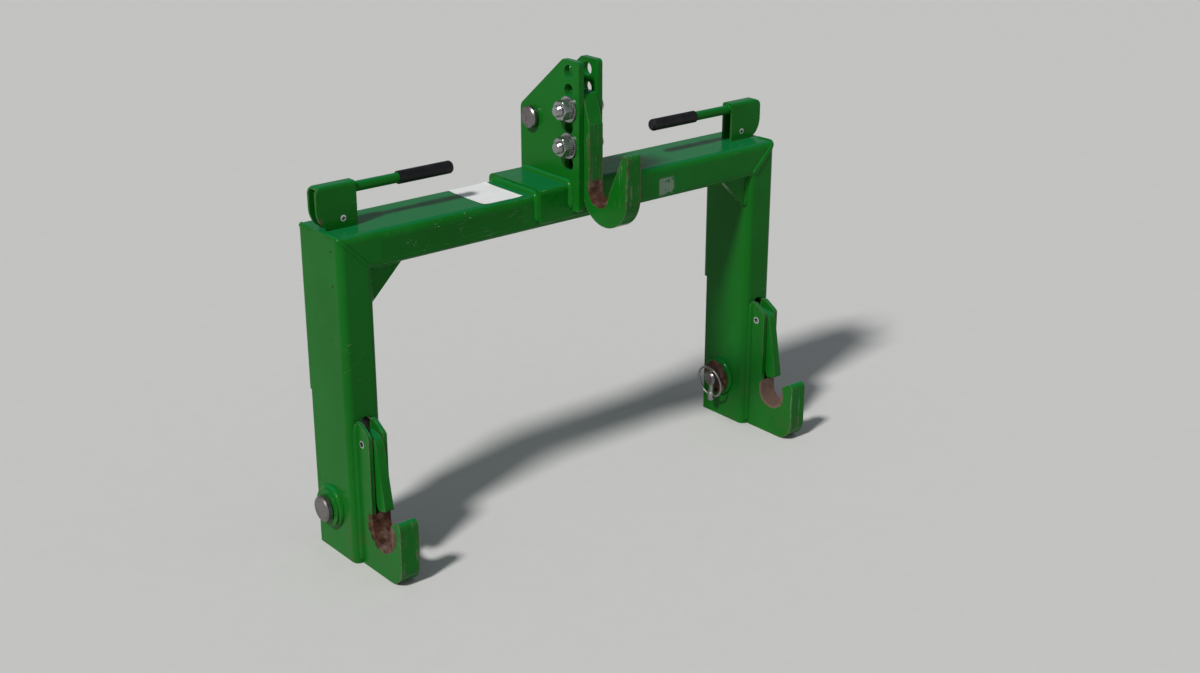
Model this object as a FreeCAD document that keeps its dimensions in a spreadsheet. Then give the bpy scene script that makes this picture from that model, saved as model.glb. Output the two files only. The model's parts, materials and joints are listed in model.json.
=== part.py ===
import FreeCAD, Part
import math
import os
from types import SimpleNamespace

import Sketcher
from FreeCAD import Placement, Rotation, Vector

# Three point quick hitch: a rectangular tube arch that stays on a tractor's three point
# arms and picks an implement up on three open hooks. Millimetres. +Z is up, -Y faces the
# implement, +Y faces the tractor, and +X is to the right when looking along +Y. The origin
# is at the middle of the base, under the centre of the whole hitch.
#
# Most bodies are drawn from the front face of the legs: their own Y = 0 is that face.

DRIVING = {
    # Tube frame
    "hook_spacing": 683.0,
    "frame_height": 434.0,
    "tube_depth": 96.0,
    "tube_width": 47.0,
    "tube_wall": 5.0,
    "tube_corner": 9.0,
    "gusset_side": 46.0,
    "gusset_plate": 8.0,
    "gusset_setback": 9.0,
    # Pocket in each leg for the tractor's lower link
    "rear_opening_height": 215.0,
    "rear_opening_depth": 10.0,
    "link_pin_setback": 52.0,
    "link_pin_height": 64.0,
    "link_pin_radius": 11.1,
    "link_head_radius": 17.3,
    "link_head_length": 9.0,
    "link_boss_radius": 25.0,
    "link_boss_length": 8.0,
    # Lower hooks
    "hook_width": 27.0,
    "hook_reach": 91.0,
    "hook_toe_radius": 26.0,
    "ear_height": 196.0,
    "ear_depth": 28.0,
    "ear_top_depth": 8.0,
    "ear_slope_drop": 12.0,
    "ear_slot": 16.0,
    "seat_forward": 48.5,
    "seat_height": 66.0,
    "seat_radius": 20.5,
    "lip_inner_height": 79.5,
    "lip_height": 95.5,
    "lip_corner": 7.0,
    "plate_corner": 5.0,
    "slot_floor": 78.0,
    "slot_top": 200.0,
    # Latches
    "pivot_forward": 12.0,
    "pivot_height": 170.0,
    "latch_pin_radius": 5.0,
    "latch_width": 12.0,
    "latch_top_forward": 31.0,
    "latch_tip_forward": 48.5,
    "latch_tip_width": 17.5,
    "latch_tip_height": 88.0,
    "latch_tip_slope": 4.5,
    "latch_head_height": 14.0,
    "latch_head_slope": 3.0,
    "latch_shoulder_radius": 16.0,
    "latch_arm_depth": 20.0,
    "latch_arm_width": 6.0,
    "latch_arm_end": 16.0,
    # Latch rods, their springs and the cam levers
    "rod_inset": 8.0,
    "rod_radius": 4.5,
    "rod_bend": 8.0,
    "rod_hole_clearance": 0.8,
    "eye_radius": 9.0,
    "collar_radius": 9.0,
    "collar_length": 8.0,
    "spring_wire": 2.2,
    "spring_radius": 7.2,
    "spring_length": 72.0,
    "spring_turns": 8.0,
    "clip_radius": 7.5,
    "clip_plate": 1.5,
    "roll_pin_radius": 4.0,
    "roll_pin_wall": 1.6,
    "lever_pin_height": 12.0,
    "cam_lift": 24.5,
    "bracket_height": 43.0,
    "bracket_inboard": 20.0,
    "bracket_width": 20.0,
    "bracket_sheet": 3.4,
    "bracket_bend": 5.0,
    "bracket_corner": 10.0,
    "bar_radius": 6.5,
    "bar_start": 29.0,
    "lever_reach": 165.5,
    "grip_length": 80.0,
    "grip_radius": 8.3,
    "grip_cap": 3.0,
    # Mast, its heights measured from the top of the saddle
    "saddle_plate": 8.0,
    "saddle_width": 138.0,
    "saddle_skirt": 36.0,
    "saddle_bend": 8.0,
    "mast_plate": 8.0,
    "mast_height": 161.0,
    "mast_forward": 25.0,
    "mast_chin_height": 36.0,
    "mast_setback": 98.0,
    "mast_shoulder_height": 87.0,
    "mast_shoulder_radius": 12.0,
    "mast_top_depth": 33.0,
    "hole_pitch": 24.0,
    "hole_margin": 13.0,
    "lowest_hole_height": 26.0,
    "hole_setforward": 4.0,
    "top_pin_setback": 72.5,
    "top_pin_height": 74.0,
    "top_pin_radius": 9.5,
    "top_head_radius": 14.8,
    "top_head_length": 8.0,
    # Upper hook, its bowl and tip measured from its seat and its shank from the saddle's top,
    # and the two bolts that hold it
    "upper_hook_width": 22.0,
    "upper_seat_forward": 54.0,
    "upper_seat_height": 439.0,
    "upper_seat_radius": 18.0,
    "upper_throat_angle": 25.5,
    "upper_round_forward": 66.0,
    "upper_round_height": 1.0,
    "upper_round_radius": 45.0,
    "upper_tip_height": 58.0,
    "shank_top": 120.0,
    "shank_top_forward": 22.0,
    "shank_lean_height": 80.0,
    "shank_step_height": 28.0,
    "shank_rear": 16.0,
    "bolt_radius": 7.9,
    "bolt_clearance": 0.8,
    "bolt_head_flats": 23.8,
    "bolt_head_length": 10.0,
    "nut_length": 14.0,
    "bolt_end": 5.5,
    "washer_radius": 16.7,
    "washer_plate": 2.5,
    # Lynch pins
    "lynch_radius": 3.75,
    "lynch_standoff": 8.0,
    "lynch_head_radius": 6.0,
    "lynch_head_length": 14.0,
    "lynch_nose": 2.5,
    "ring_wire": 1.8,
    "ring_radius": 24.0,
    "ring_drop": 29.0,
    "ring_tilt": 8.5,
    # Fits
    "running_fit": 0.08,
    "seat_gap": 0.3,
    "tight_fit": 0.02,
    "loose_fit": 0.5,
}

SIDES = {"left": -1, "right": 1}

doc = FreeCAD.newDocument("QuickHitch")
sheet = doc.addObject("Spreadsheet::Sheet", "Sizes")


# ---------------------------------------------------------------- sizes with expressions


class Size:
    """A length that carries the spreadsheet expression it comes from."""

    def __init__(self, value, text):
        self.value = value
        self.text = text

    def __add__(self, other):
        other = as_size(other)
        return Size(self.value + other.value, f"({self.text} + {other.text})")

    def __sub__(self, other):
        other = as_size(other)
        return Size(self.value - other.value, f"({self.text} - {other.text})")

    def __mul__(self, other):
        other = as_size(other)
        return Size(self.value * other.value, f"({self.text} * {other.text})")

    def __truediv__(self, other):
        other = as_size(other)
        return Size(self.value / other.value, f"({self.text} / {other.text})")

    def __neg__(self):
        return Size(-self.value, f"(0 - {self.text})")

    __radd__ = __add__
    __rmul__ = __mul__

    def __rsub__(self, other):
        return as_size(other) - self


def as_size(number):
    """A plain number as a size; sizes pass through."""
    return number if isinstance(number, Size) else Size(float(number), repr(float(number)))


def trig(name, angle):
    """Sine, cosine or tangent of an angle in degrees, kept as an expression."""
    return Size(getattr(math, name)(math.radians(angle.value)), f"{name}({angle.text} * 1 deg)")


def fill_sheet():
    """Write the driving sizes, one named cell each, and return them as sizes."""
    for row, (name, number) in enumerate(DRIVING.items(), start=1):
        sheet.set(f"A{row}", name)
        sheet.set(f"B{row}", str(number))
        sheet.setAlias(f"B{row}", name)
    doc.recompute()
    return {name: Size(float(sheet.get(name)), f"Sizes.{name}") for name in DRIVING}


s = SimpleNamespace(**fill_sheet())


def bind(thing, prop, size):
    """Drive one property of an object by a size."""
    thing.setExpression(prop, as_size(size).text)


# Sizes that follow from the driving ones
front = (s.upper_round_forward + s.upper_round_radius - s.tube_depth - s.saddle_plate) / 2
hook_x = s.hook_spacing / 2
frame_half = (s.hook_spacing + s.tube_width) / 2
underside = s.frame_height - s.tube_width
middle = s.tube_depth / 2
rod_x = hook_x - s.rod_inset
lever_z = s.frame_height + s.lever_pin_height
arm_reach = s.pivot_forward + middle
gap_half = s.upper_hook_width / 2 + s.seat_gap
mast_face = gap_half + s.mast_plate
boss_out = s.tube_width / 2 + s.link_boss_length
saddle_top = s.frame_height + s.saddle_plate
top_pin_z = saddle_top + s.top_pin_height
bolt_hole = s.bolt_radius + s.bolt_clearance


def mast_hole_heights():
    """As many evenly spaced bolt holes as the mast has room for, from the lowest up."""
    room = s.mast_height - s.lowest_hole_height - s.hole_margin
    count = int(room.value / s.hole_pitch.value) + 1
    return [saddle_top + s.lowest_hole_height + s.hole_pitch * step for step in range(count)]


mast_holes = mast_hole_heights()
bolt_heights = mast_holes[1:4:2]


# ---------------------------------------------------------------- modelling helpers


def new_body(name, x=0, y=0, z=0):
    """A body in its own place; y is measured from the front face of the legs."""
    body = doc.addObject("PartDesign::Body", name)
    body.Label = name
    bind(body, "Placement.Base.x", x)
    bind(body, "Placement.Base.y", front + y)
    bind(body, "Placement.Base.z", z)
    return body


def new_sketch(body, plane, offset=0):
    """A sketch on one of the body's own origin planes, moved along its normal."""
    sketch = body.newObject("Sketcher::SketchObject", f"{body.Name}_sketch")
    support = next(o for o in body.Origin.OriginFeatures if o.Role == f"{plane}_Plane")
    sketch.AttachmentSupport = (support, [""])
    sketch.MapMode = "FlatFace"
    bind(sketch, "AttachmentOffset.Base.z", offset)
    return sketch


def constrain(sketch, size, *terms):
    """Add a sketch constraint whose value is driven by a size."""
    index = sketch.addConstraint(Sketcher.Constraint(*terms, size.value))
    sketch.setExpression(f"Constraints[{index}]", size.text)


def fix_point(sketch, edge, end, x, y):
    """Hold one point of a sketch at x and y from the sketch's origin."""
    constrain(sketch, as_size(x), "DistanceX", -1, 1, edge, end)
    constrain(sketch, as_size(y), "DistanceY", -1, 1, edge, end)


def polygon(sketch, points):
    """A closed outline of straight lines with every corner held by sizes."""
    corners = [(as_size(x), as_size(y)) for x, y in points]
    ends = corners[1:] + corners[:1]
    first = sketch.GeometryCount
    for (x, y), (next_x, next_y) in zip(corners, ends):
        start = Vector(x.value, y.value, 0)
        sketch.addGeometry(Part.LineSegment(start, Vector(next_x.value, next_y.value, 0)))
    for i, (x, y) in enumerate(corners):
        following = first + (i + 1) % len(corners)
        sketch.addConstraint(Sketcher.Constraint("Coincident", first + i, 2, following, 1))
        fix_point(sketch, first + i, 1, x, y)


def rectangle(sketch, x0, y0, x1, y1):
    """An upright rectangle between two corners."""
    polygon(sketch, [(x0, y0), (x1, y0), (x1, y1), (x0, y1)])


def octagon(x, y, radius):
    """The corners of a regular octagon, the section of the thin bent wires."""
    turns = [as_size(45 * number + 22.5) for number in range(8)]
    return [(x + radius * trig("cos", turn), y + radius * trig("sin", turn)) for turn in turns]


def circle(sketch, x, y, radius):
    """A circle with its centre and radius held by sizes."""
    x, y = as_size(x), as_size(y)
    edge = sketch.addGeometry(
        Part.Circle(Vector(x.value, y.value, 0), Vector(0, 0, 1), radius.value))
    fix_point(sketch, edge, 3, x, y)
    constrain(sketch, radius, "Radius", edge)


def rounded_rectangle(sketch, x0, y0, x1, y1, radius):
    """A rectangle with four equal round corners."""
    x0, y0, x1, y1 = (as_size(value) for value in (x0, y0, x1, y1))
    centres = [(x0 + radius, y0 + radius), (x1 - radius, y0 + radius),
               (x1 - radius, y1 - radius), (x0 + radius, y1 - radius)]
    arcs = []
    for turn, (x, y) in enumerate(centres, start=2):
        centre = Part.Circle(Vector(x.value, y.value, 0), Vector(0, 0, 1), radius.value)
        start, end = turn * math.pi / 2, (turn + 1) * math.pi / 2
        arc = sketch.addGeometry(Part.ArcOfCircle(centre, start, end))
        fix_point(sketch, arc, 3, x, y)
        constrain(sketch, radius, "Radius", arc)
        level, upright = (1, 2) if turn % 2 == 0 else (2, 1)
        sketch.addConstraint(Sketcher.Constraint("Horizontal", arc, 3, arc, level))
        sketch.addConstraint(Sketcher.Constraint("Vertical", arc, 3, arc, upright))
        arcs.append(arc)
    for arc, following in zip(arcs, arcs[1:] + arcs[:1]):
        curve, next_curve = sketch.Geometry[arc], sketch.Geometry[following]
        line = sketch.addGeometry(Part.LineSegment(curve.EndPoint, next_curve.StartPoint))
        sketch.addConstraint(Sketcher.Constraint("Coincident", arc, 2, line, 1))
        sketch.addConstraint(Sketcher.Constraint("Coincident", line, 2, following, 1))


def pad(body, sketch, length, both_ways=True, reverse=False):
    """Extrude a sketch, evenly to both sides or from its plane."""
    feature = body.newObject("PartDesign::Pad", f"{body.Name}_pad")
    feature.Profile = sketch
    feature.SideType = "Symmetric" if both_ways else "One side"
    feature.Reversed = reverse
    bind(feature, "Length", length)
    sketch.Visibility = False
    return feature


def cut(body, sketch, length=None, both_ways=True, reverse=False):
    """Pocket a sketch through everything, or to a depth; it has to remove material."""
    doc.recompute()
    before = body.Shape.Volume
    feature = body.newObject("PartDesign::Pocket", f"{body.Name}_cut")
    feature.Profile = sketch
    feature.SideType = "Symmetric" if both_ways else "One side"
    feature.Reversed = reverse
    if length is None:
        feature.Type = "ThroughAll"
    else:
        bind(feature, "Length", length)
    doc.recompute()
    if body.Shape.Volume > before - 0.01:
        raise RuntimeError(f"{feature.Label} removed nothing")
    return feature


AXES = {"X": Vector(1, 0, 0), "Y": Vector(0, 1, 0), "Z": Vector(0, 0, 1)}


def edges_at(shape, axis, corners):
    """Names of the straight edges along an axis that pass through the given corners."""
    along = AXES[axis]
    names = []
    for number, edge in enumerate(shape.Edges, start=1):
        if not isinstance(edge.Curve, Part.Line) or abs(edge.Curve.Direction * along) < 0.999:
            continue
        start = edge.Vertexes[0].Point
        place = [value for name, value in zip("XYZ", start) if name != axis]
        for corner in corners:
            if math.dist(place, [as_size(value).value for value in corner]) < 0.05:
                names.append(f"Edge{number}")
    return names


def dress(body, kind, axis, corners, amount):
    """Fillet or chamfer the edges of the body that run along an axis at some corners."""
    doc.recompute()
    base = body.Tip
    names = edges_at(base.Shape, axis, corners)
    if len(names) < len(corners):
        raise RuntimeError(f"{body.Label} lacks an edge to {kind.lower()}")
    feature = body.newObject(f"PartDesign::{kind}", f"{body.Name}_{kind.lower()}")
    feature.Base = (base, names)
    bind(feature, "Radius" if kind == "Fillet" else "Size", amount)
    doc.recompute()
    return feature


def revolve(body, points, plane="XZ", axis="V_Axis"):
    """A solid of revolution about one axis of its sketch."""
    sketch = new_sketch(body, plane)
    polygon(sketch, points)
    feature = body.newObject("PartDesign::Revolution", f"{body.Name}_revolution")
    feature.Profile = sketch
    feature.ReferenceAxis = (sketch, [axis])
    feature.Angle = 360
    sketch.Visibility = False
    return feature


def cylinder(name, radius, length, x, y, z, axis, start):
    """A Part cylinder along an axis, placed by sizes; start is where it begins on that axis."""
    solid = doc.addObject("Part::Cylinder", name)
    bind(solid, "Radius", radius)
    bind(solid, "Height", length)
    turns = {"X": Rotation(Vector(0, 1, 0), 90), "Y": Rotation(Vector(1, 0, 0), -90),
             "Z": Rotation()}
    solid.Placement = Placement(Vector(), turns[axis])
    place = {"x": as_size(x), "y": front + y, "z": as_size(z)}
    place[axis.lower()] = place[axis.lower()] + start
    for letter, size in place.items():
        bind(solid, f"Placement.Base.{letter}", size)
    return solid


# ---------------------------------------------------------------- tube frame


def cross_tube():
    """The top tube: rectangular section, mitred to both legs, drilled for the latch rods."""
    body = new_body("cross_tube")
    section = new_sketch(body, "YZ")
    rounded_rectangle(section, 0, underside, s.tube_depth, s.frame_height, s.tube_corner)
    rounded_rectangle(section, s.tube_wall, underside + s.tube_wall,
                      s.tube_depth - s.tube_wall, s.frame_height - s.tube_wall,
                      s.tube_corner - s.tube_wall)
    pad(body, section, frame_half * 2)
    spare = s.tube_width
    mitres = new_sketch(body, "XZ")
    for side in SIDES.values():
        polygon(mitres, [
            ((frame_half + spare) * side, s.frame_height + spare),
            ((frame_half + spare) * side, underside - spare),
            ((frame_half - s.tube_width - spare) * side, underside - spare)])
    cut(body, mitres)
    rods = new_sketch(body, "XY", s.frame_height)
    for side in SIDES.values():
        circle(rods, rod_x * side, middle, s.rod_radius + s.rod_hole_clearance)
    cut(body, rods, s.tube_wall * 2, both_ways=False)


def leg_tube(name, side):
    """A leg: mitred at the top, slotted in front for the latch, open behind for the link."""
    body = new_body(f"{name}_leg_tube", hook_x * side)
    half = s.tube_width / 2
    section = new_sketch(body, "XY")
    rounded_rectangle(section, -half, 0, half, s.tube_depth, s.tube_corner)
    rounded_rectangle(section, s.tube_wall - half, s.tube_wall, half - s.tube_wall,
                      s.tube_depth - s.tube_wall, s.tube_corner - s.tube_wall)
    pad(body, section, s.frame_height, both_ways=False)
    spare = s.tube_width
    mitre = new_sketch(body, "XZ")
    polygon(mitre, [
        ((half + spare) * side, s.frame_height + spare),
        ((half + spare) * -side, s.frame_height + spare),
        ((half + spare) * -side, underside - spare)])
    cut(body, mitre)
    slot_half = s.ear_slot / 2 + s.loose_fit
    slot = new_sketch(body, "XZ")
    rectangle(slot, -slot_half, s.slot_floor, slot_half, s.slot_top - slot_half)
    cut(body, slot, s.tube_wall * 2, both_ways=False)
    slot_end = new_sketch(body, "XZ")
    circle(slot_end, 0, s.slot_top - slot_half, slot_half)
    cut(body, slot_end, s.tube_wall * 2, both_ways=False)
    opening = new_sketch(body, "XY")
    rectangle(opening, -s.tube_width, s.tube_depth - s.rear_opening_depth,
              s.tube_width, s.tube_depth * 2)
    cut(body, opening, s.rear_opening_height, both_ways=False, reverse=True)
    bore = new_sketch(body, "YZ")
    circle(bore, s.link_pin_setback, s.link_pin_height, s.link_pin_radius + s.loose_fit)
    cut(body, bore)


def corner_gusset(name, side):
    """A triangular plate welded into the inside corner between leg and cross tube."""
    setback = s.gusset_setback + s.gusset_plate / 2
    body = new_body(f"{name}_corner_gusset", (frame_half - s.tube_width) * side, setback, underside)
    face = new_sketch(body, "XZ")
    polygon(face, [(0, 0), (s.gusset_side * -side, 0), (0, -s.gusset_side)])
    pad(body, face, s.gusset_plate)


# ---------------------------------------------------------------- lower hooks and latches


def lower_hook(name, side):
    """A lower hook: an open seat under two ears that carry the latch between them."""
    body = new_body(f"{name}_lower_hook", hook_x * side)
    lip_inner = s.seat_forward + s.seat_radius
    face = new_sketch(body, "YZ")
    polygon(face, [
        (0, 0), (0, s.ear_height), (-s.ear_top_depth, s.ear_height),
        (-s.ear_depth, s.ear_height - s.ear_slope_drop), (-s.ear_depth, s.seat_height),
        (-lip_inner, s.seat_height), (-lip_inner, s.lip_inner_height),
        (-s.hook_reach, s.lip_height), (-s.hook_reach, 0)])
    pad(body, face, s.hook_width)
    seat = new_sketch(body, "YZ")
    circle(seat, -s.seat_forward, s.seat_height, s.seat_radius)
    cut(body, seat)
    between_ears = new_sketch(body, "YZ")
    rectangle(between_ears, -s.ear_depth - s.loose_fit, s.slot_floor,
              s.ear_slot, s.ear_height * 2)
    cut(body, between_ears, s.ear_slot)
    pin_hole = new_sketch(body, "YZ")
    circle(pin_hole, -s.pivot_forward, s.pivot_height, s.latch_pin_radius + s.tight_fit)
    cut(body, pin_hole)
    dress(body, "Fillet", "X", [(-s.hook_reach, 0)], s.hook_toe_radius)
    dress(body, "Fillet", "X", [(-s.hook_reach, s.lip_height), (-lip_inner, s.lip_inner_height)],
          s.lip_corner)
    dress(body, "Fillet", "X", [(-s.ear_top_depth, s.ear_height),
                                (-s.ear_depth, s.ear_height - s.ear_slope_drop)], s.plate_corner)


def latch(name, side):
    """The latch: a finger over the seat, a pivot in the ears and an arm back into the leg."""
    body = new_body(f"{name}_latch", hook_x * side)
    top = s.pivot_height + s.latch_head_height
    arm_half = s.latch_arm_depth / 2
    arm_end = middle + s.latch_arm_end
    shoulder = (-s.latch_top_forward, top - s.latch_head_slope)
    tip_rear = s.latch_tip_forward - s.latch_tip_width
    face = new_sketch(body, "YZ")
    polygon(face, [
        (-s.ear_top_depth, top), shoulder, (-s.latch_tip_forward, s.latch_tip_height),
        (-tip_rear, s.latch_tip_height - s.latch_tip_slope),
        (-s.pivot_forward / 3, s.pivot_height - s.latch_arm_depth),
        (s.latch_arm_depth / 2, s.pivot_height - arm_half),
        (arm_end, s.pivot_height - arm_half), (arm_end, s.pivot_height + arm_half),
        (s.tube_wall, s.pivot_height + arm_half)])
    pad(body, face, s.latch_width)
    thin = new_sketch(body, "YZ", (s.latch_width / 2 - s.latch_arm_width) * side)
    rectangle(thin, s.tube_wall * 2, s.pivot_height - s.latch_arm_depth,
              arm_end * 2, s.pivot_height + s.latch_arm_depth)
    cut(body, thin, s.latch_width, both_ways=False, reverse=side < 0)
    bore = new_sketch(body, "YZ")
    circle(bore, -s.pivot_forward, s.pivot_height, s.latch_pin_radius + s.running_fit)
    cut(body, bore)
    travel = s.cam_lift * s.cam_lift / arm_reach / 2
    slot_half = s.rod_radius + s.rod_hole_clearance
    slot = new_sketch(body, "YZ")
    rounded_rectangle(slot, middle - slot_half - s.loose_fit, s.pivot_height - slot_half,
                      middle + slot_half + travel + s.loose_fit, s.pivot_height + slot_half,
                      slot_half - s.tight_fit)
    cut(body, slot)
    dress(body, "Fillet", "X", [shoulder], s.latch_shoulder_radius)
    dress(body, "Fillet", "X", [(-s.ear_top_depth, top)], s.plate_corner)
    dress(body, "Fillet", "X", [(arm_end, s.pivot_height - arm_half),
                                (arm_end, s.pivot_height + arm_half)], s.plate_corner)
    dress(body, "Fillet", "X", [(-s.latch_tip_forward, s.latch_tip_height),
                                (-tip_rear, s.latch_tip_height - s.latch_tip_slope)],
          s.plate_corner / 2)


def roll_pin(name, radius, x, y, z, axis, length):
    """A slotted spring pin along X or Y, centred on a point."""
    body = new_body(name, x, y, z)
    plane = {"X": "YZ", "Y": "XZ"}[axis]
    ring = new_sketch(body, plane)
    circle(ring, 0, 0, radius)
    circle(ring, 0, 0, radius - s.roll_pin_wall)
    pad(body, ring, length)
    slit = new_sketch(body, plane)
    rectangle(slit, 0, -s.roll_pin_wall / 3, radius * 2, s.roll_pin_wall / 3)
    cut(body, slit)


# ---------------------------------------------------------------- latch rods and levers


def latch_rod(name, side):
    """A rod with an eye for the lever above and a bent end for the latch arm below."""
    body = new_body(f"{name}_latch_rod", rod_x * side, middle)
    foot = s.rod_inset + s.latch_width / 2 + s.clip_plate * 3 + s.seat_gap
    turn = s.rod_bend
    path = new_sketch(body, "XZ")
    top = lever_z
    low = s.pivot_height + turn
    upright = path.addGeometry(Part.LineSegment(Vector(0, top.value, 0), Vector(0, low.value, 0)))
    bend_circle = Part.Circle(Vector(turn.value * side, low.value, 0), Vector(0, 0, 1), turn.value)
    start, end = (math.pi, 1.5 * math.pi) if side > 0 else (1.5 * math.pi, 2 * math.pi)
    bend = path.addGeometry(Part.ArcOfCircle(bend_circle, start, end))
    toe = path.addGeometry(Part.LineSegment(
        Vector(turn.value * side, s.pivot_height.value, 0),
        Vector(foot.value * side, s.pivot_height.value, 0)))
    enters, leaves = (1, 2) if side > 0 else (2, 1)
    fix_point(path, upright, 1, 0, top)
    fix_point(path, upright, 2, 0, low)
    path.addConstraint(Sketcher.Constraint("Coincident", upright, 2, bend, enters))
    path.addConstraint(Sketcher.Constraint("Coincident", bend, leaves, toe, 1))
    fix_point(path, toe, 1, turn * side, s.pivot_height)
    fix_point(path, toe, 2, foot * side, s.pivot_height)
    constrain(path, turn, "Radius", bend)
    section = new_sketch(body, "XY", top)
    circle(section, 0, 0, s.rod_radius)
    pipe = body.newObject("PartDesign::AdditivePipe", f"{name}_rod_pipe")
    pipe.Profile = section
    pipe.Spine = (path, [])
    doc.recompute()
    eye = new_sketch(body, "XZ")
    circle(eye, 0, lever_z, s.eye_radius)
    pad(body, eye, s.bracket_width - s.bracket_sheet * 2 - s.seat_gap * 2)
    bore = new_sketch(body, "XZ")
    circle(bore, 0, lever_z, s.roll_pin_radius + s.running_fit)
    cut(body, bore)


def rod_fittings(name, side):
    """The spring that pushes a rod down, the collar under it and the clip on its bent end."""
    spring_top = s.frame_height - s.tube_wall
    collar_top = spring_top - s.spring_length
    collar = new_body(f"{name}_rod_collar", rod_x * side, middle, collar_top - s.collar_length)
    ring = new_sketch(collar, "XY")
    circle(ring, 0, 0, s.collar_radius)
    circle(ring, 0, 0, s.rod_radius + s.tight_fit)
    pad(collar, ring, s.collar_length, both_ways=False)
    spring = new_body(f"{name}_rod_spring", rod_x * side, middle,
                      collar_top + s.spring_wire / 2 + s.seat_gap)
    wire = new_sketch(spring, "XZ")
    polygon(wire, octagon(s.spring_radius, 0, s.spring_wire / 2))
    coil = spring.newObject("PartDesign::AdditiveHelix", f"{name}_spring_coil")
    coil.Profile = wire
    coil.ReferenceAxis = (wire, ["V_Axis"])
    coil.Mode = "pitch-height-angle"
    rise = s.spring_length - s.spring_wire - s.seat_gap
    bind(coil, "Height", rise)
    bind(coil, "Pitch", rise / s.spring_turns)
    clip_start = s.latch_width / 2 + s.seat_gap
    clip = new_body(f"{name}_rod_clip", hook_x * side, middle, s.pivot_height)
    washer = new_sketch(clip, "YZ", clip_start * side)
    circle(washer, 0, 0, s.clip_radius)
    circle(washer, 0, 0, s.rod_radius + s.tight_fit)
    pad(clip, washer, s.clip_plate, both_ways=False, reverse=side < 0)


def cam_point(angle):
    """A point of the cam edge whose support distance grows evenly with the lever's angle."""
    turn = math.radians(angle)
    rate = s.cam_lift.value / (math.pi / 2)
    reach = s.lever_pin_height.value - s.seat_gap.value + rate * turn
    across = reach * math.sin(turn) + rate * math.cos(turn)
    upward = rate * math.sin(turn) - reach * math.cos(turn)
    return across, upward


def lever_bracket(name, side):
    """A folded sheet channel; its outboard edge is the cam that lifts the latch rod."""
    body = new_body(f"{name}_lever_bracket", rod_x * side, middle, lever_z)
    low = s.lever_pin_height - s.seat_gap
    flat_x = s.cam_lift * (2 / math.pi)
    outer_x = low + s.cam_lift
    half, inner = s.bracket_width / 2, s.bracket_width / 2 - s.bracket_sheet
    top, web = s.bracket_height, s.bracket_height - s.bracket_sheet
    channel = new_sketch(body, "YZ", -s.bracket_inboard * side)
    polygon(channel, [(-half, -low), (-half, top), (half, top), (half, -low),
                      (inner, -low), (inner, web), (-inner, web), (-inner, -low)])
    pad(body, channel, s.bracket_inboard + outer_x, both_ways=False, reverse=side < 0)
    dress(body, "Fillet", "X", [(-half, top), (half, top)], s.bracket_bend)
    dress(body, "Fillet", "X", [(-inner, web), (inner, web)], s.bracket_bend - s.bracket_sheet)
    trim = new_sketch(body, "XZ")
    spare = s.bracket_height
    rectangle(trim, -outer_x - spare, -low - spare, outer_x + spare, top + spare)
    corner_x, corner_z = outer_x - s.bracket_corner, top - s.bracket_corner
    corners = [(corner_x, top), (-s.bracket_inboard, top), (-s.bracket_inboard, -low),
               (flat_x, -low)]
    first = trim.GeometryCount
    for number, ((x0, z0), (x1, z1)) in enumerate(zip(corners, corners[1:])):
        line = trim.addGeometry(Part.LineSegment(
            Vector(x0.value * side, z0.value, 0), Vector(x1.value * side, z1.value, 0)))
        if number:
            trim.addConstraint(Sketcher.Constraint("Coincident", line - 1, 2, line, 1))
            fix_point(trim, line, 1, x0 * side, z0)
    fix_point(trim, line, 2, flat_x * side, -low)
    centre = Part.Circle(Vector(corner_x.value * side, corner_z.value, 0), Vector(0, 0, 1),
                         s.bracket_corner.value)
    turn = 0 if side > 0 else math.pi / 2
    corner = trim.addGeometry(Part.ArcOfCircle(centre, turn, turn + math.pi / 2))
    fix_point(trim, corner, 3, corner_x * side, corner_z)
    constrain(trim, s.bracket_corner, "Radius", corner)
    level, upper = (1, 2) if side > 0 else (2, 1)
    trim.addConstraint(Sketcher.Constraint("Horizontal", corner, 3, corner, level))
    trim.addConstraint(Sketcher.Constraint("Vertical", corner, 3, corner, upper))
    trim.addConstraint(Sketcher.Constraint("Coincident", corner, upper, first, 1))
    edge = trim.addGeometry(Part.LineSegment(
        Vector(outer_x.value * side, corner_z.value, 0),
        Vector(outer_x.value * side, flat_x.value, 0)))
    trim.addConstraint(Sketcher.Constraint("Coincident", corner, level, edge, 1))
    fix_point(trim, edge, 2, outer_x * side, flat_x)
    cam = Part.BSplineCurve()
    points = [cam_point(angle) for angle in range(0, 91, 10)]
    cam.interpolate(Points=[Vector(x * side, z, 0) for x, z in points])
    trim.addConstraint(Sketcher.Constraint("Block", trim.addGeometry(cam)))
    cut(body, trim)
    holes = new_sketch(body, "XZ")
    circle(holes, 0, 0, s.roll_pin_radius + s.tight_fit)
    cut(body, holes)


def lever_bar(name, side):
    """The round bar under the bracket's web and the moulded grip on its inboard end."""
    z = lever_z + s.bracket_height - s.bracket_sheet - s.bar_radius - s.tight_fit
    bar = new_body(f"{name}_lever_bar", rod_x * side, middle, z)
    section = new_sketch(bar, "YZ", s.bar_start * side)
    circle(section, 0, 0, s.bar_radius)
    bar_length = s.bar_start + s.lever_reach - s.grip_cap
    pad(bar, section, bar_length, both_ways=False, reverse=side > 0)
    grip = new_body(f"{name}_lever_grip", rod_x * side, middle, z)
    reach, inner = s.lever_reach, s.lever_reach - s.grip_length
    bore = s.bar_radius + s.tight_fit
    profile = [(inner, bore), (inner, s.grip_radius), (reach - s.grip_cap, s.grip_radius),
               (reach - s.grip_cap / 3, s.grip_radius - s.grip_cap / 3),
               (reach, s.grip_radius - s.grip_cap), (reach, 0),
               (reach - s.grip_cap + s.tight_fit, 0), (reach - s.grip_cap + s.tight_fit, bore)]
    revolve(grip, [(x * -side, y) for x, y in profile], axis="H_Axis")


# ---------------------------------------------------------------- pins


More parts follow.
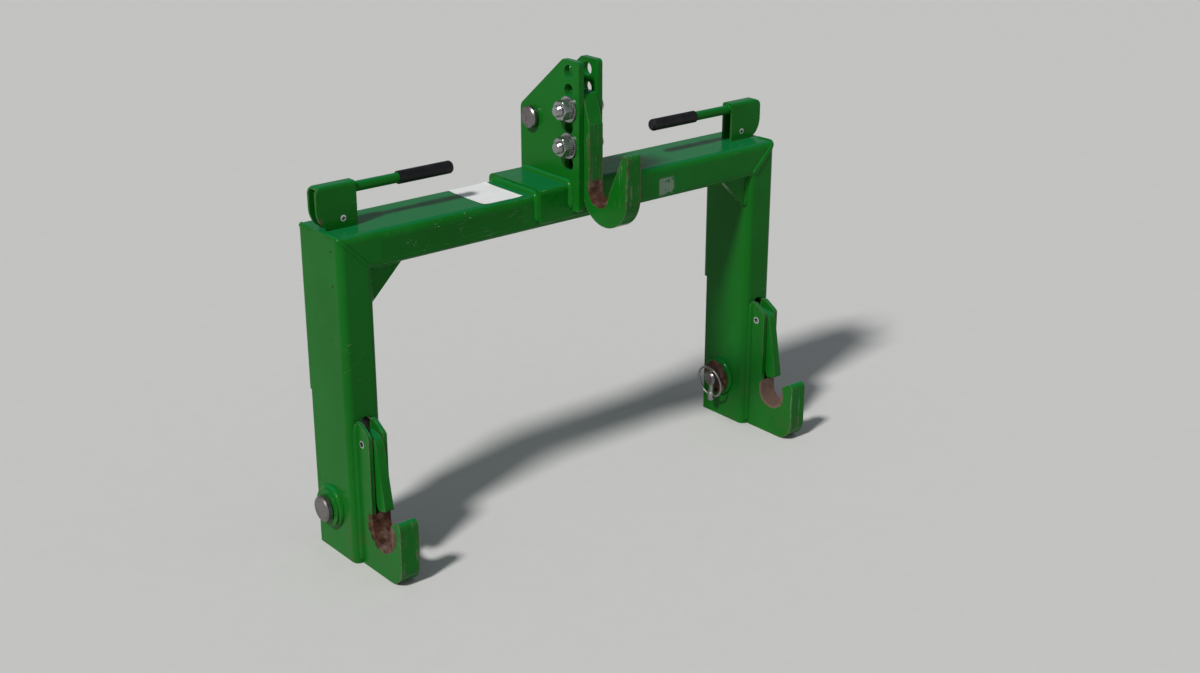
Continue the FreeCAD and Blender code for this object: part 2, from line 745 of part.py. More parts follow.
def headed_pin(name, x, y, z, head_side, radius, head_radius, head_length, length, hole):
    """A turned pin along X with a head on one side and a cross hole for a lynch pin."""
    body = new_body(name, x, y, z)
    edge = head_length / 5
    nose = radius / 4
    profile = [(0, 0), (-head_length, 0), (-head_length, head_radius - edge),
               (edge - head_length, head_radius), (-edge, head_radius), (0, head_radius - edge),
               (0, radius), (length - nose, radius), (length, radius - nose), (length, 0)]
    revolve(body, [(a * -head_side, b) for a, b in profile], axis="H_Axis")
    cross = new_sketch(body, "XY")
    circle(cross, hole * -head_side, 0, s.lynch_radius + s.seat_gap / 2)
    cut(body, cross)


def lynch_pin(name, x, y, z, ring_side):
    """A lynch pin up through a pin's cross hole, with a drilled head that holds its ring."""
    body = new_body(f"{name}_lynch_pin", x, y, z)
    head_top = s.lynch_head_length / 2 - s.ring_drop
    shank = s.ring_radius * 2 - s.ring_drop - s.ring_wire * 2 - head_top
    edge = s.lynch_head_radius / 3
    profile = [(0, -s.lynch_head_length), (s.lynch_head_radius - edge, -s.lynch_head_length),
               (s.lynch_head_radius, edge - s.lynch_head_length), (s.lynch_head_radius, -edge),
               (s.lynch_head_radius - edge, 0), (s.lynch_radius, 0),
               (s.lynch_radius, shank - s.lynch_nose * 2),
               (s.lynch_radius - s.lynch_nose, shank), (0, shank)]
    revolve(body, [(a, b + head_top) for a, b in profile])
    eye = new_sketch(body, "XZ")
    circle(eye, 0, -s.ring_drop, s.ring_wire + s.seat_gap * 4)
    cut(body, eye)
    ring = new_body(f"{name}_lynch_ring", x + s.ring_radius * trig("sin", s.ring_tilt) * ring_side,
                    y, z - s.ring_drop + s.ring_radius * trig("cos", s.ring_tilt))
    ring.Placement.Rotation = Rotation(Vector(0, ring_side, 0), s.ring_tilt.value)
    bind(ring, "Placement.Rotation.Angle", s.ring_tilt)
    revolve(ring, octagon(0, s.ring_radius, s.ring_wire), axis="H_Axis")


def link_pin_group(name, side):
    """The two welded bosses, the lower link pin between them and the pin's lynch pin."""
    y, z = s.link_pin_setback, s.link_pin_height
    for place, start in (("outer", s.tube_width / 2), ("inner", -boss_out)):
        boss = new_body(f"{name}_{place}_link_boss", (hook_x + start) * side, y, z)
        ring = new_sketch(boss, "YZ")
        circle(ring, 0, 0, s.link_boss_radius)
        circle(ring, 0, 0, s.link_pin_radius + s.running_fit)
        pad(boss, ring, s.link_boss_length, both_ways=False, reverse=side < 0)
    head = hook_x + boss_out + s.seat_gap
    hole = boss_out * 2 + s.seat_gap + s.lynch_standoff
    headed_pin(f"{name}_link_pin", head * side, y, z, side, s.link_pin_radius,
               s.link_head_radius, s.link_head_length, hole + s.lynch_radius * 2, hole)
    lynch_pin(f"{name}_link", (head - hole) * side, y, z, -side)


def top_pin_group():
    """The top link pin across the mast plates, with its own lynch pin."""
    head = mast_face + s.seat_gap
    hole = mast_face * 2 + s.seat_gap + s.lynch_standoff
    y, z = s.top_pin_setback, top_pin_z
    headed_pin("top_link_pin", -head, y, z, -1, s.top_pin_radius, s.top_head_radius,
               s.top_head_length, hole + s.lynch_radius * 2, hole)
    lynch_pin("top_link", hole - head, y, z, 1)


# ---------------------------------------------------------------- mast and upper hook


def mast_saddle():
    """A plate folded over the middle of the cross tube."""
    body = new_body("mast_saddle")
    top = saddle_top
    low = s.frame_height - s.saddle_skirt
    back = s.tube_depth
    face = new_sketch(body, "YZ")
    polygon(face, [
        (-s.saddle_plate, low), (-s.saddle_plate, top), (back + s.saddle_plate, top),
        (back + s.saddle_plate, low), (back, low), (back, s.frame_height),
        (0, s.frame_height), (0, low)])
    pad(body, face, s.saddle_width)
    dress(body, "Fillet", "X", [(-s.saddle_plate, top), (back + s.saddle_plate, top)],
          s.saddle_bend)


def mast_plate(name, side):
    """A mast side plate: a chin over the saddle's skirt, a raked back and a row of holes."""
    body = new_body(f"{name}_mast_plate", (gap_half + s.mast_plate / 2) * side, 0, saddle_top)
    face = new_sketch(body, "YZ")
    shoulder = (s.mast_setback, s.mast_shoulder_height)
    corners = [(-s.mast_forward, s.mast_height),
               (s.mast_top_depth - s.mast_forward, s.mast_height),
               (-s.mast_forward, -s.mast_chin_height)]
    polygon(face, [corners[0], corners[1], shoulder, (s.mast_setback, 0),
                   (-s.saddle_plate, 0), (-s.saddle_plate, -s.mast_chin_height), corners[2]])
    pad(body, face, s.mast_plate)
    holes = new_sketch(body, "YZ")
    for height in mast_holes:
        circle(holes, -s.hole_setforward, height - saddle_top, bolt_hole)
    circle(holes, s.top_pin_setback, s.top_pin_height, s.top_pin_radius + s.running_fit)
    cut(body, holes)
    dress(body, "Fillet", "X", corners, s.plate_corner)
    dress(body, "Fillet", "X", [shoulder], s.mast_shoulder_radius)


def upper_hook():
    """The upper hook: a J with a flared throat on a shank bolted between the mast plates."""
    body = new_body("upper_hook")
    back = s.upper_round_forward - s.upper_round_radius
    lip = s.upper_round_forward + s.upper_round_radius
    throat = s.upper_seat_forward - s.upper_seat_radius
    round_z = s.upper_seat_height + s.upper_round_height
    tip_z = s.upper_seat_height + s.upper_tip_height
    shank_z = saddle_top + s.shank_top
    step_z = saddle_top + s.shank_step_height
    face = new_sketch(body, "YZ")
    polygon(face, [
        (s.shank_rear, shank_z), (s.shank_rear, step_z + s.shank_rear / 2),
        (-back, step_z - s.shank_rear / 2), (-back, round_z), (-lip, round_z), (-lip, tip_z),
        (-throat, tip_z), (-throat, saddle_top + s.shank_lean_height),
        (-s.shank_top_forward, shank_z)])
    pad(body, face, s.upper_hook_width)
    bowl = new_sketch(body, "YZ")
    circle(bowl, -s.upper_round_forward, round_z, s.upper_round_radius)
    pad(body, bowl, s.upper_hook_width)
    seat = new_sketch(body, "YZ")
    circle(seat, -s.upper_seat_forward, s.upper_seat_height, s.upper_seat_radius)
    cut(body, seat)
    slope = s.upper_throat_angle
    touch_y = s.upper_seat_forward + s.upper_seat_radius * trig("cos", slope)
    touch_z = s.upper_seat_height - s.upper_seat_radius * trig("sin", slope)
    flare = (tip_z - touch_z) * trig("tan", slope)
    mouth = new_sketch(body, "YZ")
    polygon(mouth, [
        (-s.upper_seat_forward, s.upper_seat_height), (-touch_y, touch_z),
        (-touch_y - flare, tip_z), (-throat, tip_z), (-throat, s.upper_seat_height)])
    cut(body, mouth)
    holes = new_sketch(body, "YZ")
    for height in bolt_heights:
        circle(holes, -s.hole_setforward, height, bolt_hole)
    cut(body, holes)
    dress(body, "Fillet", "X", [(-lip, tip_z)], s.plate_corner)
    dress(body, "Fillet", "X", [(-touch_y - flare, tip_z)], s.plate_corner / 2)
    dress(body, "Fillet", "X", [(-s.shank_top_forward, shank_z), (s.shank_rear, shank_z),
                                (s.shank_rear, step_z + s.shank_rear / 2)], s.plate_corner)


def hexagon(name, x, y, z, flats, length):
    """A hexagonal prism along X that starts at x."""
    solid = doc.addObject("Part::Prism", name)
    solid.Polygon = 6
    bind(solid, "Circumradius", flats / math.sqrt(3))
    bind(solid, "Height", length)
    solid.Placement = Placement(Vector(), Rotation(Vector(0, 1, 0), 90))
    bind(solid, "Placement.Base.x", x)
    bind(solid, "Placement.Base.y", front + y)
    bind(solid, "Placement.Base.z", z)
    return solid


def gather(name, solids):
    """Several like pieces in one node."""
    group = doc.addObject("Part::Compound", name)
    group.Label = name
    group.Links = solids


def hook_fasteners():
    """Two through bolts with a washer and a nut each; the heads are on the right."""
    bolts, washers, nuts = [], [], []
    washer_in = mast_face + s.washer_plate
    nut_out = washer_in + s.nut_length
    y = -s.hole_setforward
    for number, z in enumerate(bolt_heights):
        shank = cylinder(f"shank_{number}", s.bolt_radius, mast_face + nut_out + s.bolt_end,
                         0, y, z, "X", -nut_out - s.bolt_end)
        head = hexagon(f"head_{number}", mast_face, y, z, s.bolt_head_flats, s.bolt_head_length)
        bolt = doc.addObject("Part::Fuse", f"bolt_{number}")
        bolt.Base, bolt.Tool = shank, head
        bolts.append(bolt)
        for kind, radius, outer, group in (("washer", s.washer_radius, washer_in, washers),
                                           ("nut", None, nut_out, nuts)):
            length = s.washer_plate if kind == "washer" else s.nut_length
            if radius:
                blank = cylinder(f"{kind}_blank_{number}", radius, length, 0, y, z, "X", -outer)
            else:
                blank = hexagon(f"{kind}_blank_{number}", -outer, y, z, s.bolt_head_flats, length)
            bore = cylinder(f"{kind}_bore_{number}", s.bolt_radius + s.tight_fit, length * 3,
                            0, y, z, "X", -outer - length)
            piece = doc.addObject("Part::Cut", f"{kind}_{number}")
            piece.Base, piece.Tool = blank, bore
            group.append(piece)
    gather("upper_hook_bolts", bolts)
    gather("upper_hook_washers", washers)
    gather("upper_hook_nuts", nuts)


# ---------------------------------------------------------------- assembly and export


def build():
    """Make every piece of the hitch."""
    cross_tube()
    for name, side in SIDES.items():
        leg_tube(name, side)
        corner_gusset(name, side)
        lower_hook(name, side)
        latch(name, side)
        roll_pin(f"{name}_latch_pin", s.latch_pin_radius, hook_x * side, -s.pivot_forward,
                 s.pivot_height, "X", s.hook_width + s.loose_fit)
        latch_rod(name, side)
        rod_fittings(name, side)
        lever_bracket(name, side)
        lever_bar(name, side)
        roll_pin(f"{name}_lever_pin", s.roll_pin_radius, rod_x * side, middle, lever_z, "Y",
                 s.bracket_width + s.loose_fit)
        link_pin_group(name, side)
        mast_plate(name, side)
    mast_saddle()
    upper_hook()
    hook_fasteners()
    top_pin_group()


def check(thing):
    """Stop if an object has failed to compute."""
    if "Invalid" in thing.State or "Error" in thing.State:
        raise RuntimeError(f"{thing.Label} is {thing.State}")


def is_node(thing):
    """Bodies and the fastener groups are the pieces that are written out."""
    return thing.TypeId in ("PartDesign::Body", "Part::Compound")


def export():
    """Check every piece and write it as STEP."""
    os.makedirs("parts", exist_ok=True)
    for thing in doc.Objects:
        check(thing)
    for node in filter(is_node, doc.Objects):
        if node.Shape.isNull() or not node.Shape.isValid():
            raise RuntimeError(f"{node.Label} has no valid shape")
        node.Shape.exportStep(os.path.join("parts", f"{node.Label}.step"))
        print(f"{node.Label}: {len(node.Shape.Solids)} solid, {node.Shape.Volume / 1000:.2f} cm3")


build()
doc.recompute()
export()
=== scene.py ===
import json
import math
import random

import bmesh
import bpy
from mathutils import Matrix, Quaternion, Vector


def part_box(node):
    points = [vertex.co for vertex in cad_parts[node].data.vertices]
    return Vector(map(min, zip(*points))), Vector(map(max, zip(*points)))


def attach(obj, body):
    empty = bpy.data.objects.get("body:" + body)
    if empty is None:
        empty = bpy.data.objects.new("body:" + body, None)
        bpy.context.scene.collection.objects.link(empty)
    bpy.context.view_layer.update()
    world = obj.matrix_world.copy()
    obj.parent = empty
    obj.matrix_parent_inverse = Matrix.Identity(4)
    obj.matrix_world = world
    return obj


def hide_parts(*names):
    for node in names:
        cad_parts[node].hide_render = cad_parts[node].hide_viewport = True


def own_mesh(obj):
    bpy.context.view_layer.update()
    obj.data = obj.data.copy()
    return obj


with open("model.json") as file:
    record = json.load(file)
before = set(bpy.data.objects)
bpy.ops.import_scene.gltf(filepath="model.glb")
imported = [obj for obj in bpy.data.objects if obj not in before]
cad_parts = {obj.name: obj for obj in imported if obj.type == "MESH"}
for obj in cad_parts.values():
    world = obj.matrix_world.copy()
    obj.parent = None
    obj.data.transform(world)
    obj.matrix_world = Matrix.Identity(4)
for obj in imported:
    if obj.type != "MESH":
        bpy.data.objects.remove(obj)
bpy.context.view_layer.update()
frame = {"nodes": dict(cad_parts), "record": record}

SIDES = {"left": -1, "right": 1}
random.seed(11)


def circle(count):
    """The angles of evenly spaced points round a circle."""
    return [2 * math.pi * i / count for i in range(count)]


def link(thing):
    """Put a new object into the scene."""
    bpy.context.scene.collection.objects.link(thing)


# ---------------------------------------------------------------- camera and lamps

CAMERA_PLACE = Vector((-1.3119, -1.6197, 1.0381))
CAMERA_AZIMUTH = -39.73
CAMERA_ELEVATION = 21.36
CAMERA_ROLL = 0.15
FOCAL_LENGTH = 49.54
SENSOR_WIDTH = 36.0


def make_camera():
    """The camera of the photograph, in the row frame."""
    data = bpy.data.cameras.new("camera")
    data.lens = FOCAL_LENGTH
    data.sensor_width = SENSOR_WIDTH
    data.clip_start = 0.05
    data.clip_end = 100
    camera = bpy.data.objects.new("camera", data)
    link(camera)
    camera.location = CAMERA_PLACE
    turn = Quaternion((0, 0, 1), math.radians(CAMERA_AZIMUTH))
    tilt = Quaternion((1, 0, 0), math.radians(90 - CAMERA_ELEVATION))
    roll = Quaternion((0, 0, 1), math.radians(CAMERA_ROLL))
    camera.rotation_mode = "QUATERNION"
    camera.rotation_quaternion = turn @ tilt @ roll
    bpy.context.scene.camera = camera


def make_sun(name, towards, spread, strength, colour):
    """A distant lamp: the way to it, how many degrees wide it looks, and its strength."""
    data = bpy.data.lights.new(name, "SUN")
    data.angle = math.radians(spread)
    data.energy = strength
    data.color = colour
    lamp = bpy.data.objects.new(name, data)
    link(lamp)
    lamp.rotation_euler = Vector(towards).to_track_quat("Z", "Y").to_euler()


# ---------------------------------------------------------------- node materials


class Tree:
    """A material's node tree, written as expressions."""

    def __init__(self, name):
        self.material = bpy.data.materials.new(name)
        self.material.use_nodes = True
        self.nodes = self.material.node_tree.nodes
        self.links = self.material.node_tree.links
        self.shader = self.nodes["Principled BSDF"]
        self.place = self.add("ShaderNodeTexCoord").outputs["Object"]
        self.geometry = self.add("ShaderNodeNewGeometry")
        split = self.add("ShaderNodeSeparateXYZ", {0: self.place})
        self.x, self.y, self.z = split.outputs

    def add(self, kind, inputs=None, **settings):
        """A node with some of its settings and inputs filled in."""
        node = self.nodes.new(kind)
        for name, value in settings.items():
            setattr(node, name, value)
        for name, value in (inputs or {}).items():
            self.fill(node.inputs[name], value)
        return node

    def fill(self, socket, value):
        """Link an output to a socket, or write a plain value on it."""
        if isinstance(value, bpy.types.NodeSocket):
            self.links.new(value, socket)
        elif isinstance(value, tuple) and socket.type == "RGBA":
            socket.default_value = (*value[:3], 1)
        else:
            socket.default_value = value

    def set(self, **values):
        """Fill the shader's sockets; an underscore stands for a space."""
        for name, value in values.items():
            self.fill(self.shader.inputs[name.replace("_", " ")], value)

    def math(self, operation, a, b=0.0):
        """Work out one sum on numbers or outputs."""
        return self.add("ShaderNodeMath", {0: a, 1: b}, operation=operation).outputs[0]

    def both(self, a, b):
        """How far two masks hold together."""
        return self.math("MULTIPLY", a, b)

    def either(self, a, b):
        """How far the stronger of two masks holds."""
        return self.math("MAXIMUM", a, b)

    def without(self, value):
        """What is left of 1."""
        return self.math("SUBTRACT", 1.0, value)

    def stretch(self, scale):
        """The place, scaled along each axis."""
        node = self.add("ShaderNodeVectorMath", {0: self.place, 1: scale}, operation="MULTIPLY")
        return node.outputs[0]

    def noise(self, scale, detail=3.0, roughness=0.55, place=None, distortion=0.0):
        """Cloudy noise round 0.5, at a scale in waves to the metre."""
        inputs = {"Vector": place or self.place, "Scale": scale, "Detail": detail,
                  "Roughness": roughness, "Distortion": distortion}
        return self.add("ShaderNodeTexNoise", inputs).outputs["Fac"]

    def step(self, value, low, high, to_low=0.0, to_high=1.0):
        """Smoothly from one value to another as the input goes from low to high."""
        inputs = {"Value": value, "From Min": low, "From Max": high,
                  "To Min": to_low, "To Max": to_high}
        node = self.add("ShaderNodeMapRange", inputs, interpolation_type="SMOOTHSTEP")
        return node.outputs["Result"]

    def fall(self, value, border, soft):
        """1 below a border and 0 above it."""
        return self.step(value, border - soft, border + soft, 1.0, 0.0)

    def mix(self, amount, a, b):
        """Mix two colours."""
        node = self.add("ShaderNodeMix", data_type="RGBA")
        self.fill(node.inputs["Factor"], amount)
        for socket, value in zip((s for s in node.inputs if s.type == "RGBA"), (a, b)):
            self.fill(socket, value)
        return next(s for s in node.outputs if s.type == "RGBA")

    def blend(self, amount, a, b):
        """Mix two numbers."""
        node = self.add("ShaderNodeMix", data_type="FLOAT")
        self.fill(node.inputs["Factor"], amount)
        self.fill(node.inputs["A"], a)
        self.fill(node.inputs["B"], b)
        return node.outputs["Result"]

    def edges(self, width):
        """How much the surface turns within a width: high along convex and concave edges."""
        soft = self.add("ShaderNodeBevel", {"Radius": width}, samples=4).outputs["Normal"]
        dot = self.add("ShaderNodeVectorMath", {0: soft, 1: self.geometry.outputs["Normal"]},
                       operation="DOT_PRODUCT")
        return self.without(dot.outputs["Value"])

    def facing(self):
        """How far the surface looks along each axis of its own piece."""
        normal = self.add("ShaderNodeTexCoord").outputs["Normal"]
        return self.add("ShaderNodeSeparateXYZ", {0: normal}).outputs

    def near_seat(self, y, z, radius, top, ragged, seed):
        """1 near a round seat that runs along X, up to a height, with a ragged border."""
        across = self.math("SUBTRACT", self.y, y)
        above = self.math("SUBTRACT", self.z, z)
        distance = self.math("SQRT", self.math(
            "ADD", self.both(across, across), self.both(above, above)))
        rough = self.math("SUBTRACT", self.noise(110 + seed, 5.0, 0.65), 0.5)
        shift = self.math("MULTIPLY", rough, ragged * 4)
        round_part = self.fall(self.math("ADD", distance, shift), radius, 0.0005)
        low_part = self.fall(self.math("ADD", self.z, shift), top, 0.001)
        return self.both(round_part, low_part)

    def spot(self, x, y, z, radius):
        """1 inside a small ball."""
        node = self.add("ShaderNodeVectorMath", {0: self.place, 1: (x, y, z)},
                        operation="DISTANCE")
        return self.step(node.outputs["Value"], radius * 0.8, radius * 1.1, 1.0, 0.0)

    def in_box(self, low, high, soft=0.004):
        """1 inside a box of the row frame, with soft sides."""
        inside = None
        for value, start, end in zip((self.x, self.y, self.z), low, high):
            rise = self.step(value, start - soft, start + soft)
            band = self.both(rise, self.fall(value, end, soft))
            inside = band if inside is None else self.both(inside, band)
        return inside

    def bumps(self, *layers):
        """Several height fields, each with its distance in metres, one on another."""
        normal = None
        for height, distance in layers:
            inputs = {"Height": height, "Distance": distance, "Strength": 1.0}
            node = self.add("ShaderNodeBump", inputs)
            if normal:
                self.fill(node.inputs["Normal"], normal)
            normal = node.outputs["Normal"]
        return normal


GREEN = (0.004, 0.109, 0.007)
GREEN_FADED = (0.005, 0.133, 0.012)
GREEN_DEEP = (0.003, 0.070, 0.006)
# A bluer green for faces towards the sky: a painted sky reflection.
GREEN_PAINTED_SKY_REFLECTION = (0.004, 0.152, 0.042)
RUST_DARK = (0.040, 0.017, 0.011)
RUST = (0.120, 0.050, 0.030)
BARE = (0.200, 0.128, 0.100)
WORN_EDGE = (0.190, 0.175, 0.115)
ABRADED = (0.050, 0.060, 0.026)
SCUFF = (0.230, 0.270, 0.220)
CHIP = (0.420, 0.460, 0.410)
STICKER_GREY = (0.185, 0.235, 0.200)
DUST = (0.300, 0.220, 0.150)
SOIL = (0.060, 0.050, 0.020)
# Near-black painted shade for small holes that are not cut.
HOLE_PAINTED_SHADE = (0.004, 0.006, 0.004)
GRIP_DARK = (0.004, 0.004, 0.006)
GRIP_PALE = (0.008, 0.008, 0.010)
GRIP_DUST = (0.150, 0.120, 0.090)
LABEL_WHITE = (0.78, 0.79, 0.79)
LABEL_DIRT = (0.50, 0.46, 0.40)
FLOOR_PALE = (0.580, 0.578, 0.570)
FLOOR_DULL = (0.550, 0.548, 0.540)

SOILED_UP_TO = 0.11


def enamel(t, facing, fine, dust):
    """The green coat: faded patches, deep streaks, a painted sky reflection on faces towards the
    sky, soil and dust.
    """
    broad = t.noise(6.0, 2.0)
    colour = t.mix(t.step(broad, 0.35, 0.7), GREEN, GREEN_FADED)
    colour = t.mix(t.step(fine, 0.3, 0.75, 0.0, 0.45), colour, GREEN)
    streaks = t.step(t.noise(3.0, 5.0, 0.7, t.stretch((9.0, 9.0, 1.0))), 0.56, 0.78, 0.0, 0.30)
    colour = t.mix(streaks, colour, GREEN_DEEP)
    # Painted reflection: faces that look up are turned bluer, as if they mirrored the sky.
    colour = t.mix(t.step(facing[2], 0.6, 0.98, 0.0, 0.85), colour, GREEN_PAINTED_SKY_REFLECTION)
    low_down = t.step(t.z, 0.0, SOILED_UP_TO, 1.0, 0.0)
    soil = t.both(low_down, t.step(t.noise(22.0, 6.0, 0.7), 0.42, 0.70))
    colour = t.mix(t.both(soil, 0.38), colour, SOIL)
    return t.mix(t.both(dust, 0.02), colour, DUST)


def old_stickers(t, colour, fine, residue, ghost):
    """What two stickers left: a patch of deep paint with a faint rim, and torn grey film."""
    if ghost:
        inside = t.in_box(*ghost, 0.0006)
        colour = t.mix(t.both(inside, 0.35), colour, GREEN_DEEP)
        rim = t.both(inside, t.without(t.in_box(*shrunk(ghost, 0.0010), 0.0006)))
        colour = t.mix(t.both(rim, t.step(fine, 0.50, 0.70, 0.0, 0.12)), colour, SCUFF)
    if residue:
        torn = t.both(t.in_box(*residue, 0.0015), t.step(t.noise(95.0, 3.0, 0.6), 0.40, 0.46))
        colour = t.mix(t.both(torn, 0.75), colour, STICKER_GREY)
    return colour


def rusted(t, rust_height, polished):
    """Steel without its paint: two browns of rust, and the metal where it is rubbed bright."""
    rust = t.mix(t.step(t.noise(95.0, 5.0, 0.7), 0.35, 0.65), RUST_DARK, RUST)
    bright = t.step(t.noise(55.0, 4.0, 0.65), 0.42 - polished, 0.66 - polished)
    pits = t.step(rust_height, 0.35, 0.75, 0.0, 0.5 - polished)
    return t.mix(pits, t.mix(bright, rust, BARE), RUST_DARK)


def paint(name, seats=(), rubs=(), flecks=(), drags=(), holes=(), residue=None, ghost=None,
          wear=0.3, polished=0.0, rusty_ends=False):
    """Green enamel over steel, with the wear that each place has.

    seats: round seats rubbed bare; rubs: boxes rubbed bare; flecks: boxes with small pale chips;
    drags: boxes with upright scratches; holes: small holes, drawn as near-black spots of painted
    shade; residue: a box with the grey remains of a sticker; ghost: a box where a decal kept the
    paint deep; wear: how much the edges are worn; polished: how far the bare steel shows through
    its rust; rusty_ends: the faces along X are bare.
    """
    t = Tree(name)
    facing = t.facing()
    fine = t.noise(55.0, 4.0, 0.6)
    dust = t.both(t.step(facing[2], 0.2, 0.95), t.step(t.noise(18.0, 6.0, 0.7), 0.45, 0.75))
    colour = enamel(t, facing, fine, dust)

    edge = t.edges(0.0014 + 0.0008 * wear)
    broken = t.noise(190.0, 5.0, 0.65)
    patches = t.step(t.noise(20.0, 3.0, 0.5), 0.66 - 0.34 * wear, 0.76 - 0.30 * wear)
    abraded = t.both(t.step(t.noise(36.0, 5.0, 0.7), 0.46, 0.66), t.step(broken, 0.50, 0.62))
    colour = t.mix(t.both(abraded, 0.22 * wear), colour, ABRADED)
    worn = t.both(t.step(edge, 0.04, 0.16), t.both(patches, 0.40 + 0.5 * wear))
    colour = t.mix(t.both(worn, t.step(broken, 0.32, 0.50)), colour, WORN_EDGE)
    bare = t.both(t.step(edge, 0.05, 0.20), t.both(patches, t.step(broken, 0.50, 0.58)))
    hairs = t.noise(4.0, 3.0, 0.5, t.stretch((6.0, 160.0, 220.0)), 0.6)
    scratch = t.both(t.step(hairs, 0.655, 0.680), t.step(t.noise(9.0, 2.0), 0.54, 0.66))
    colour = t.mix(t.both(scratch, 0.45), colour, SCUFF)
    for low, high in flecks:
        chips = t.noise(1.0, 4.0, 0.6, t.stretch((130.0, 300.0, 420.0)))
        chips = t.both(t.step(chips, 0.630, 0.660), t.step(t.noise(26.0, 2.0), 0.50, 0.62))
        colour = t.mix(t.both(t.in_box(low, high), chips), colour, CHIP)
    for low, high in drags:
        lines = t.step(t.noise(1.0, 4.0, 0.65, t.stretch((330.0, 330.0, 16.0))), 0.52, 0.66)
        cloud = t.step(t.noise(60.0, 5.0, 0.7), 0.40, 0.62)
        scuffed = t.both(t.in_box(low, high), t.both(lines, cloud))
        colour = t.mix(t.both(scuffed, 0.42), colour, SCUFF)
        bare = t.either(bare, t.both(scuffed, t.step(broken, 0.50, 0.60)))
    colour = old_stickers(t, colour, fine, residue, ghost)

    rust_height = t.noise(340.0, 6.0, 0.7)
    for seat in seats:
        bare = t.either(bare, t.near_seat(**seat))
    for low, high in rubs:
        ragged = t.step(t.noise(180.0, 5.0, 0.65), 0.44, 0.56)
        bare = t.either(bare, t.both(t.in_box(low, high), ragged))
    if rusty_ends:
        end = t.step(t.math("ABSOLUTE", facing[0]), 0.90, 0.97)
        bare = t.either(bare, t.both(end, t.step(t.noise(70.0, 4.0, 0.6), 0.30, 0.42)))
    colour = t.mix(bare, colour, rusted(t, rust_height, polished))
    # Painted shade: each small hole is a near-black spot on the face, with no hole cut.
    for hole in holes:
        colour = t.mix(t.spot(*hole), colour, HOLE_PAINTED_SHADE)

    rough = t.step(fine, 0.3, 0.7, 0.15, 0.25)
    rough = t.blend(t.both(dust, 0.4), rough, 0.6)
    rough = t.blend(bare, rough, t.step(rust_height, 0.3, 0.7, 0.45, 0.72))
    peel = t.noise(620.0, 2.0, 0.4)
    waves = t.noise(48.0, 2.0, 0.4)
    below_paint = t.both(bare, t.math("SUBTRACT", rust_height, 1.4))
    normal = t.bumps((waves, 0.00030), (peel, 0.00003), (below_paint, 0.00016))
    t.set(Base_Color=colour, Roughness=rough, Metallic=t.both(bare, 0.5), Normal=normal,
          Specular_IOR_Level=0.10)
    return t.material


def shrunk(box, margin):
    """A box taken in by a margin along X and Z."""
    low, high = box
    return ((low[0] + margin, low[1], low[2] + margin),
            (high[0] - margin, high[1], high[2] - margin))


def steel(name, colour, dull, rust_level, rough=0.36):
    """Turned or rolled steel: fine marks, dulled patches, a little rust, painted edge highlights.
    """
    t = Tree(name)
    marks = t.noise(240.0, 3.0, 0.6)
    patch = t.noise(70.0, 5.0, 0.65)
    tone = t.mix(t.step(patch, 0.35, 0.7), colour, dull)
    tone = t.mix(t.step(marks, 0.35, 0.7, 0.0, 0.35), tone, tuple(0.55 * c for c in colour))
    spots = t.both(t.step(t.noise(150.0, 6.0, 0.7), 0.56, 0.70), rust_level)
    tone = t.mix(spots, tone, RUST)
    # Painted highlight: the steel's colour is made lighter along its edges.
    painted_edge_highlight = t.step(t.edges(0.0012), 0.04, 0.3, 0.0, 0.5)
    tone = t.mix(painted_edge_highlight, tone, tuple(min(1.0, 1.35 * c) for c in colour))
    t.set(Base_Color=tone, Metallic=t.math("SUBTRACT", 0.95, t.both(spots, 0.7)),
          Roughness=t.math("ADD", t.step(marks, 0.3, 0.7, rough - 0.06, rough + 0.08),
                           t.both(spots, 0.3)),
          Normal=t.bumps((marks, 0.00005), (spots, 0.00008)))
    return t.material


def vinyl(name):
    """Dipped black vinyl: soft gloss, fine pores, dust in the low places."""
    t = Tree(name)
    pores = t.noise(700.0, 3.0, 0.5)
    waves = t.noise(60.0, 3.0, 0.5)
    dusty = t.both(t.step(t.noise(90.0, 6.0, 0.7), 0.50, 0.75), 0.07)
    black = t.mix(t.step(waves, 0.3, 0.7), GRIP_DARK, GRIP_PALE)
    t.set(Base_Color=t.mix(dusty, black, GRIP_DUST), Specular_IOR_Level=0.25,
          Roughness=t.step(pores, 0.3, 0.7, 0.36, 0.52),
          Normal=t.bumps((pores, 0.00005), (waves, 0.0003)))
    return t.material


def label_film(name):
    """A blank white label, a little dirty and creased."""
    t = Tree(name)
    dirt = t.step(t.noise(120.0, 6.0, 0.7), 0.5, 0.8, 0.0, 0.35)
    creases = t.noise(40.0, 4.0, 0.6, t.stretch((1.0, 3.0, 1.0)))
    t.set(Base_Color=t.mix(dirt, LABEL_WHITE, LABEL_DIRT),
          Roughness=t.step(creases, 0.3, 0.7, 0.38, 0.55), Normal=t.bumps((creases, 0.0003)))
    return t.material


def floor_material():
    """Plain pale studio floor with a faint tooth."""
    t = Tree("floor")
    speck = t.noise(30.0, 5.0, 0.6)
    t.set(Base_Color=t.mix(speck, FLOOR_DULL, FLOOR_PALE),
          Roughness=0.9, Normal=t.bumps((t.noise(400.0, 3.0), 0.0002)))
    return t.material


# ---------------------------------------------------------------- stage

FLOOR_REACH = 30.0
FLOOR_DROP = 0.0004

# The world is a little brighter at the horizon than overhead.
WORLD_COLOUR = (0.86, 0.94, 1.0, 1)
HORIZON_STRENGTH = 0.36
OVERHEAD_STRENGTH = 0.20
PALE_UP_TO = 0.45


